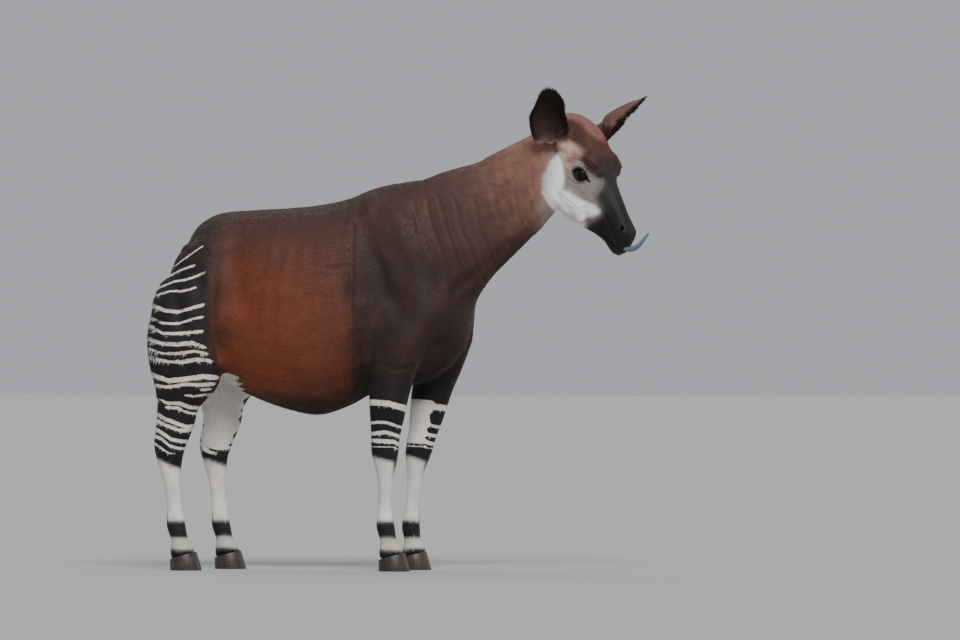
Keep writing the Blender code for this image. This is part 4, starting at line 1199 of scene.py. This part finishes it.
# Each piece of the coat: name, slot, tufts, and length and width against those of the trunk
COAT_PIECES = (
    ("coat_shoulder", "coat_body", 17000, 1.0, 1.0),
    ("coat_rump", "coat_body", 19000, 1.0, 1.0),
    ("coat_neck", "coat_neck", 15000, 0.9, 0.9),
    ("coat_legs", "coat_legs", 18000, 0.7, 0.8),
    ("coat_head", "coat_head", 18000, 0.45, 0.5),
    ("coat_ears", "coat_ears", 9000, 0.55, 0.45),
)
SHOULDER_COAT, RUMP_COAT, NECK_COAT, LEG_COAT, HEAD_COAT, EAR_COAT = range(len(COAT_PIECES))


def region_of(base):
    """Which piece of the coat a point belongs to."""
    places, head = base["places"], base["head"]
    fore, hind = leg_masks(base)
    region = np.full(len(places), SHOULDER_COAT)
    region[places[:, 0] < 0.12] = RUMP_COAT
    up_neck = (places[:, 0] - NECK_ROOT[0]) * NECK_AXIS[0] + (places[:, 2] - NECK_ROOT[1]) * NECK_AXIS[2]
    region[up_neck > 0] = NECK_COAT
    region[(fore > 0.5) | ((hind > 0.5) & (places[:, 2] < 0.80))] = LEG_COAT
    region[head > 0.5] = HEAD_COAT
    for local, (side, _) in zip(base["ears"], EAR_FRAMES):
        region[ear_place(local, side)[0]] = EAR_COAT
    return region


def fringe_of(base):
    """How much longer the hair is at the coronets, ears' rims and tips, belly, elbows, buttocks and chin."""
    flat, face, height = base["flat"], base["face"], base["places"][:, 2]
    longer = 1 + 1.3 * ease(0.105, 0.085, height)
    for local, (side, _) in zip(base["ears"], EAR_FRAMES):
        near, rim, _ = ear_place(local, side)
        # Only the left ear ends in a brush
        tip = 2.6 if side > 0 else 0.2
        longer += near * (0.6 * ease(0.010, 0.004, rim) + tip * ease(0.196, 0.212, local[:, 0]))
    longer += 0.5 * ease(0.5, 0.9, -base["normals"][:, 2]) * ease(0.55, 0.62, height)
    longer += 0.5 * ease(0.05, 0.02, from_line(flat, ELBOW))
    longer += 0.5 * ease(-0.53, -0.56, flat[:, 0]) * ease(0.45, 0.6, flat[:, 1])
    longer += 0.8 * base["head"] * ease(0.50, 0.56, face[:, 0]) * ease(-0.11, -0.13, face[:, 2])
    return longer


def unwrap_of(base, region):
    """A flat place for every root: each piece of the coat opened out like a sleeve."""
    places, face = base["places"], base["face"]
    if region == HEAD_COAT:
        turn = 0.5 + np.arctan2(face[:, 1], face[:, 2] + 0.11) / SLEEVE
        return np.column_stack([turn, 0.05 + 0.9 * (face[:, 0] + 0.12) / 0.75])
    if region == EAR_COAT:
        # A quarter each for the inside and the outside of both ears
        near, far = base["ears"]
        right = np.abs(near).max(axis=1) < np.abs(far).max(axis=1)
        local = np.where(right[:, None], near, far)
        facing = [base["normals"] @ np.array(matrix)[:3, 2] for _, matrix in EAR_FRAMES]
        inner = np.where(right, *facing) > 0
        across = 0.02 + 0.23 * (local[:, 1] + 0.14) / 0.28 + 0.25 * inner + 0.5 * right
        return np.column_stack([across, 0.05 + 0.9 * (local[:, 0] + 0.03) / 0.26])
    if region == LEG_COAT:
        rear, left = places[:, 0] < 0.0, places[:, 1] > 0
        fore_turn, hind_turn = (np.arctan2(*leg_place(base["twins"], table)) for table in (FORELEG, HIND_LEG))
        turn = np.where(rear, hind_turn, fore_turn) / SLEEVE + 0.5
        up = 0.03 + 0.94 * np.clip(places[:, 2] / 0.85, 0, 1)
        return np.column_stack([0.25 * turn + 0.25 * left + 0.5 * rear, up])
    middle = np.interp(places[:, 0], (0.4, 1.1), (1.05, 1.62))
    turn = np.arctan2(places[:, 1], places[:, 2] - middle) / SLEEVE + 0.5
    return np.column_stack([turn, 0.03 + 0.94 * (places[:, 0] + 0.65) / 1.85])


# Across an eyelid, closed behind: share of its breadth from the margin outwards, and height over the ball
LID_SECTION = (
    (0.00, -0.0025), (0.00, 0.0000), (0.03, 0.0010), (0.12, 0.0016), (0.35, 0.0021), (0.70, 0.0023), (1.00, 0.0020),
    (1.06, -0.0040), (0.50, -0.0040),
)


def over_eye(side, bend, out, height):
    """A point over the ball of an eye, from the angle round its opening, and a share and height as above."""
    tall = LID_UPPER if math.sin(bend) > 0 else LID_LOWER
    edge = (1 + 0.10 * math.cos(bend) ** 8) / math.hypot(math.cos(bend) / LID_LONG, math.sin(bend) / tall)
    reach = edge + (LID_REACH - edge) * out
    y = math.sqrt(max((EYE_RADIUS + height) ** 2 - reach**2, 0.004**2))
    x, z = turned(reach * math.cos(bend), reach * math.sin(bend), -EYE_SLANT)
    centre = Vector(middle_of("eye_right" if side < 0 else "eye_left"))
    return centre + HEAD_FRAME.to_3x3() @ Vector((x, side * y, z))


def add_lids(material, tints):
    """Both lids of each eye, which close over the ball to an almond."""
    shares = []

    def build(bm):
        for side in (-1, 1):
            rings = []
            for out, height in LID_SECTION:
                bends = [math.tau * i / LID_STEPS for i in range(LID_STEPS)]
                rings.append([bm.verts.new(over_eye(side, bend, out, height)) for bend in bends])
                shares.extend([out] * LID_STEPS)
            for one, two in zip(rings, rings[1:] + rings[:1]):
                for i in range(LID_STEPS):
                    bm.faces.new((one[i - 1], one[i], two[i], two[i - 1]))
        bmesh.ops.recalc_face_normals(bm, faces=bm.faces)

    piece = new_piece("eyelids", build)
    points = points_of(piece.data)
    coat = np.tile(np.array(tints.ink), (len(points), 1))
    lay(coat, tints.umber, ease(0.4, 1.0, np.array(shares)) * 0.5)
    mark(piece.data, coat, unstriped(len(points)), points)
    dress(piece, material)
    ride(piece)


def add_lashes(rng, material, tints):
    """Lashes along the upper lid of each eye, standing out over it."""
    turn = np.array(HEAD_FRAME.to_3x3())
    roots, ways = [], []
    for side in (-1, 1):
        for share in np.linspace(0.05, 0.95, LASHES):
            bend = math.pi * share
            roots.append(np.array(over_eye(side, bend, 0.06, 0.0010)))
            ways.append(turn @ np.array([0.25 + 0.5 * math.cos(bend) + rng.normal(0, 0.12), side * 0.9, 0.35]))
    roots, ways = np.array(roots), unit(np.array(ways))
    up = unit(turn[:, 2] - ways * (ways @ turn[:, 2])[:, None])
    count = len(roots)
    marks = (np.tile(tints.ink, (count, 1)), unstriped(count), roots)
    lengths = rng.uniform(0.006, 0.010, count)
    widths = np.full(count, 0.0009)
    flat = np.column_stack([np.linspace(0.1, 0.9, count), np.full(count, 0.5)])
    roots, lifts = roots - ways * 0.001, lengths * -0.22
    piece = tufts("eyelashes", roots, up, ways, lengths, widths, lifts, marks, flat, material)
    ride(piece)


class OKAPI_OT_coat(bpy.types.Operator):
    """Lays the tufts of the coat along the skin"""

    bl_idname = "okapi.coat"
    bl_label = "Coat"

    def execute(self, context):
        sizes, tints = context.scene.okapi_sizes, context.scene.okapi_colours
        skin = bpy.data.objects.get("okapi_skin")
        if skin is None:
            raise RuntimeError("the skin comes before the coat")
        mesh, material = skin.data, skin.data.materials[0]
        middle, normal, area, corners = face_arrays(mesh)
        base = basis_of(middle, normal)
        region = region_of(base)
        way = lie_of(base)
        coat, stripe, comb = (
            numbers_of(mesh.attributes[name].data, key, width)[corners].mean(axis=1)
            for name, key, width in (("coat", "color", 4), ("stripe", "vector", 3), ("comb", "vector", 3))
        )
        rng = np.random.default_rng(11)
        # Hair is shorter towards the feet and the nose, and there is none at the eyes
        feet = ease(0.10, 0.45, base["places"][:, 2]) * 0.5 + 0.5
        nose = 1 - 0.45 * base["head"] * ease(0.30, 0.52, base["face"][:, 0])
        bare = np.ones(len(middle))
        for side in (-1, 1):
            bare *= ease(0.028, 0.036, np.linalg.norm(base["face"] - EYE * (1, side, 1), axis=1))
        longer = fringe_of(base)
        for number, (name, slot, count, long, wide) in enumerate(COAT_PIECES):
            here = np.flatnonzero(region == number)
            chance = area[here] * bare[here] * longer[here] ** 1.5
            picked = here[rng.choice(len(here), count, p=chance / chance.sum())]
            across = np.cross(normal[picked], way[picked])
            jitter = rng.uniform(-1, 1, (2, count)) * (np.sqrt(area[picked]) * 0.5)
            roots = middle[picked] + way[picked] * jitter[0][:, None] + across * jitter[1][:, None]
            heading = unit(way[picked] + across * rng.normal(0, 0.13, count)[:, None])
            small = (feet * nose)[picked]
            lengths = sizes.tuft_length * long * small * longer[picked] * rng.uniform(0.7, 1.25, count)
            widths = sizes.tuft_width * wide * small * rng.uniform(0.7, 1.3, count)
            lifts = lengths * rng.uniform(0.05, 0.11, count)
            view = {key: value[picked] for key, value in base.items() if isinstance(value, np.ndarray)}
            view["ears"] = [local[picked] for local in base["ears"]]
            tone = coat[picked] * rng.uniform(0.93, 1.09, count)[:, None]
            marks = (tone, stripe[picked], comb[picked])
            flat = unwrap_of(view, number)
            piece = tufts(name, roots, normal[picked], heading, lengths, widths, lifts, marks, flat, material)
            ride(piece)
        add_lids(material, tints)
        add_lashes(rng, material, tints)
        return {"FINISHED"}


class OKAPI_OT_eyes(bpy.types.Operator):
    """Makes the wet, dark eyes"""

    bl_idname = "okapi.eyes"
    bl_label = "Eyes"

    def execute(self, context):
        # Cornea over a dark brown iris, wet: almost a black mirror with a brown glow at its edge
        material, tree, shader = new_material("wet_eye", 0.04)
        shader.inputs["IOR"].default_value = 1.34
        ring = add_node(tree, "ShaderNodeAttribute", {"attribute_name": "ring"}).outputs["Fac"]
        stops = ((0.40, "#050506"), (0.47, "#0d0806"), (0.62, "#130b08"), (0.70, "#070505"), (0.95, "#0a0808"))
        colour_by(tree, shader, ring, stops)
        for side, node in ((-1, "eye_right"), (1, "eye_left")):
            centre = Vector(middle_of(node))
            # Out to the side, a little up, and turned towards the nose
            ahead = Matrix.Rotation(-side * EYE_AHEAD, 3, "Z")
            aim = HEAD_FRAME.to_3x3() @ ahead @ Vector((0.10, side, 0.02)).normalized()
            turn = aim.to_track_quat("Z", "Y").to_matrix().to_4x4()

            def build(bm):
                bmesh.ops.create_uvsphere(bm, u_segments=48, v_segments=32, radius=EYE_RADIUS)
                for vert in bm.verts:
                    # The cornea stands 0.8 mm proud of the ball
                    out = math.acos(max(-1, min(1, vert.co.normalized().z)))
                    vert.co *= 1 + CORNEA_RISE * max(0, math.cos(min(out / CORNEA_SPREAD, 1) * math.pi / 2))
                bmesh.ops.transform(bm, matrix=Matrix.Translation(centre) @ turn, verts=bm.verts)

            piece = new_piece("eyeball_" + node[4:], build)
            points = points_of(piece.data) - np.array(centre)
            out = np.arccos(np.clip(points @ np.array(aim) / np.linalg.norm(points, axis=1), -1, 1))
            write_attribute(piece.data, "ring", "FLOAT", out)
            dress(piece, material)
            ride(piece)
            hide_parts(node)
        return {"FINISHED"}


class OKAPI_OT_tongue(bpy.types.Operator):
    """Makes the long tongue that curls up in front of the muzzle"""

    bl_idname = "okapi.tongue"
    bl_label = "Tongue"

    def execute(self, context):
        # Wet muscle: blue-grey, with a fine grain of papillae
        material, tree, shader = new_material("wet_tongue", 0.32)
        shader.inputs["Subsurface Weight"].default_value = 0.15
        shader.inputs["Subsurface Scale"].default_value = 0.01
        place = add_node(tree, "ShaderNodeTexCoord").outputs["Object"]
        speckle = add_node(tree, "ShaderNodeTexNoise", {"Scale": 900.0, "Detail": 2.0}, Vector=place).outputs["Fac"]
        colour_by(tree, shader, speckle, ((0.3, "#4b5265"), (0.7, "#7f879c")))
        roughen(tree, shader, speckle, 0.4, 0.0006)

        def build(bm):
            bm.from_mesh(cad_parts["tongue"].data)
            bmesh.ops.remove_doubles(bm, verts=bm.verts, dist=WELD)

        piece = new_piece("tongue_wet", build)
        round_off(piece, 2)
        dress(piece, material)
        ride(piece)
        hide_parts("tongue")
        return {"FINISHED"}


class OKAPI_OT_hooves(bpy.types.Operator):
    """Makes the eight hooves"""

    bl_idname = "okapi.hooves"
    bl_label = "Hooves"

    def execute(self, context):
        # Horn grown in rings, with fine streaks down it: dark and dull, so that the feet end clearly
        material, tree, shader = new_material("hoof_horn", 0.45)
        place = add_node(tree, "ShaderNodeTexCoord").outputs["Object"]
        settings = {"bands_direction": "Z", "Scale": 24.0, "Distortion": 2.5, "Detail": 1.0}
        rings = add_node(tree, "ShaderNodeTexWave", settings, Vector=place)
        long_place = add_node(tree, "ShaderNodeMapping", {"Scale": (160.0, 160.0, 22.0)}, Vector=place)
        settings = {"Scale": 1.0, "Detail": 3.0}
        streak = add_node(tree, "ShaderNodeTexNoise", settings, Vector=long_place.outputs["Vector"])
        settings = {"operation": "MULTIPLY_ADD", 1: 0.12}
        both = add_node(tree, "ShaderNodeMath", settings, in0=rings.outputs["Fac"], in2=streak.outputs["Fac"])
        colour_by(tree, shader, both.outputs[0], ((0.35, "#1b1715"), (0.95, "#4a4038")))
        roughen(tree, shader, both.outputs[0], 0.5, 0.0008)
        for node in HOOVES:

            def build(bm):
                bm.from_mesh(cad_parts[node].data)
                bmesh.ops.remove_doubles(bm, verts=bm.verts, dist=WELD)
                bmesh.ops.dissolve_limit(bm, angle_limit=math.radians(2), verts=bm.verts, edges=bm.edges)
                steep = math.radians(50)
                sharp = [edge for edge in bm.edges if edge.is_manifold and edge.calc_face_angle(0) > steep]
                # Worn edges, 3.5 mm broad
                wear = {"offset": 0.0035, "segments": 3, "profile": 0.5, "affect": "EDGES"}
                bmesh.ops.bevel(bm, geom=sharp, material=-1, clamp_overlap=True, **wear)

            piece = new_piece(node.replace("hoof", "horn"), build)
            dress(piece, material)
            piece.data.set_sharp_from_angle(angle=math.radians(45))
            ride(piece)
            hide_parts(node)
        return {"FINISHED"}


class OKAPI_OT_tail(bpy.types.Operator):
    """Makes the tail with its tuft of long hair"""

    bl_idname = "okapi.tail"
    bl_label = "Tail"

    def execute(self, context):
        tints = context.scene.okapi_colours
        material = bpy.data.objects["okapi_skin"].data.materials[0]
        path = [Vector((x, 0, z)) - Vector(SHIFT) for x, z in TAIL_PATH]
        radii = np.linspace(TAIL_RADIUS, TAIL_TIP_RADIUS, len(path))

        def build(bm):
            ring = None
            for i, (point, radius) in enumerate(zip(path, radii)):
                along = (path[min(i + 1, len(path) - 1)] - path[max(i - 1, 0)]).normalized()
                turn = along.to_track_quat("Z", "Y").to_matrix().to_4x4()
                place = Matrix.Translation(point) @ turn
                ends = i in (0, len(path) - 1)
                made = bmesh.ops.create_circle(bm, segments=TAIL_SIDES, radius=radius, cap_ends=ends, matrix=place)
                loop = list({edge for vert in made["verts"] for edge in vert.link_edges})
                if ring is not None:
                    bmesh.ops.bridge_loops(bm, edges=ring + loop)
                ring = loop
            bmesh.ops.recalc_face_normals(bm, faces=bm.faces)

        piece = new_piece("tail_dock", build)
        round_off(piece, 3)
        points = points_of(piece.data)
        count = len(points)
        mark(piece.data, np.tile(tints.soot, (count, 1)), unstriped(count), points[:, [2, 1, 0]])
        dress(piece, material)
        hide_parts("tail")
        locks = self.add_locks(path, material, tints)
        for thing in (piece, locks):
            ride(thing)
        return {"FINISHED"}

    def add_locks(self, path, material, tints):
        """The tuft: long tapered locks from the lower half of the dock."""
        rng = np.random.default_rng(5)
        count = LOCKS
        line = np.array(path)
        share = LOCKS_FROM + LOCKS_OVER * rng.uniform(0, 1, count) ** 0.6
        first = np.minimum(share.astype(int), len(line) - 2)
        part = (share - first)[:, None]
        roots = line[first] * (1 - part) + line[first + 1] * part
        along = unit(line[first + 1] - line[first])
        turn = rng.uniform(0, math.tau, count)
        out = np.column_stack([np.cos(turn), np.sin(turn), 0.2 * np.cos(turn)])
        out = unit(out - along * np.sum(out * along, axis=1)[:, None])
        late = (share - LOCKS_FROM) / LOCKS_OVER
        ways = unit(along + out * rng.uniform(0.02, 0.13, count)[:, None])
        lengths = (0.045 + 0.095 * late) * rng.uniform(0.8, 1.1, count)
        tone = np.tile(tints.soot, (count, 1)) * rng.uniform(0.7, 1.5, count)[:, None]
        marks = (tone, unstriped(count), np.column_stack([roots[:, 2], turn * 0.02, turn]))
        flat = np.column_stack([0.05 + 0.9 * turn / 6.3, 0.05 + 0.9 * late])
        widths, lifts = rng.uniform(0.0035, 0.007, count), lengths * 0.06
        return tufts("tail_locks", roots + out * 0.006, out, ways, lengths, widths, lifts, marks, flat, material)


class OKAPI_OT_stage(bpy.types.Operator):
    """Sets the floor, the light and the camera"""

    bl_idname = "okapi.stage"
    bl_label = "Stage"

    def execute(self, context):
        scene = context.scene

        def build(bm):
            bmesh.ops.create_grid(bm, x_segments=1, y_segments=1, size=90)

        floor = new_piece("floor", build)
        # Matt and pale, so that the eye sees the feet's soft shadows and little else
        material, _, shader = new_material("pale_studio_floor", 0.8)
        shader.inputs["Base Color"].default_value = (*linear("#a9a8a6"), 1)
        floor.data.materials.append(material)
        world = bpy.data.worlds.new("pale_room")
        world.use_nodes = True
        sky = world.node_tree.nodes["Background"].inputs
        sky["Color"].default_value = (*linear("#e4e8ee"), 1)
        sky["Strength"].default_value = 0.55
        scene.world = world
        # Key from the front, a second from above and behind that runs along the back, a faint fill from ahead
        lamps = (
            ("key", (1.2, -3.4, 3.0), 24.0, 2.9),
            ("back_light", (-1.5, 2.2, 4.6), 34.0, 0.6),
            ("fill", (3.0, 1.5, 1.0), 40.0, 0.5),
        )
        for name, place, spread, power in lamps:
            lamp = bpy.data.lights.new(name, "SUN")
            lamp.angle = math.radians(spread)
            lamp.energy = power
            thing = bpy.data.objects.new(name, lamp)
            thing.location = place
            thing.rotation_euler = (-Vector(place)).to_track_quat("-Z", "Y").to_euler()
            scene.collection.objects.link(thing)
        camera = bpy.data.objects.new("camera", bpy.data.cameras.new("camera"))
        scene.collection.objects.link(camera)
        scene.camera = camera
        back = Vector((math.sin(VIEW_TURN), -math.cos(VIEW_TURN), 0))
        along = Vector((math.cos(VIEW_TURN), math.sin(VIEW_TURN), 0))
        aim = along * VIEW_ALONG + Vector((0, 0, VIEW_HEIGHT)) - Vector((SHIFT[0], SHIFT[1], 0))
        camera.location = aim + back * VIEW_DISTANCE
        camera.rotation_euler = (-back).to_track_quat("-Z", "Y").to_euler()
        camera.data.lens = FILM_BREADTH * VIEW_DISTANCE / VIEW_BREADTH
        camera.data.clip_end = 200
        return {"FINISHED"}


class OKAPI_PT_panel(bpy.types.Panel):
    bl_label = "Okapi"
    bl_idname = "OKAPI_PT_panel"
    bl_space_type = "VIEW_3D"
    bl_region_type = "UI"
    bl_category = "Okapi"

    def draw(self, context):
        for group in (context.scene.okapi_sizes, context.scene.okapi_colours):
            for name in group.__annotations__:
                self.layout.prop(group, name)
        for operator in OPERATORS:
            self.layout.operator(operator.bl_idname)


OPERATORS = (
    OKAPI_OT_skin,
    OKAPI_OT_eyes,
    OKAPI_OT_tongue,
    OKAPI_OT_hooves,
    OKAPI_OT_tail,
    OKAPI_OT_coat,
    OKAPI_OT_stage,
)


def register():
    for kind in (OkapiSizes, OkapiColours, *OPERATORS, OKAPI_PT_panel):
        bpy.utils.register_class(kind)
    bpy.types.Scene.okapi_sizes = bpy.props.PointerProperty(type=OkapiSizes)
    bpy.types.Scene.okapi_colours = bpy.props.PointerProperty(type=OkapiColours)


def unregister():
    del bpy.types.Scene.okapi_sizes
    del bpy.types.Scene.okapi_colours
    for kind in (OkapiSizes, OkapiColours, *OPERATORS, OKAPI_PT_panel):
        bpy.utils.unregister_class(kind)


def main():
    register()
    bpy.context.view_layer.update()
    for operator in (
        bpy.ops.okapi.skin,
        bpy.ops.okapi.eyes,
        bpy.ops.okapi.tongue,
        bpy.ops.okapi.hooves,
        bpy.ops.okapi.tail,
        bpy.ops.okapi.coat,
        bpy.ops.okapi.stage,
    ):
        operator()


if __name__ == "__main__":
    main()
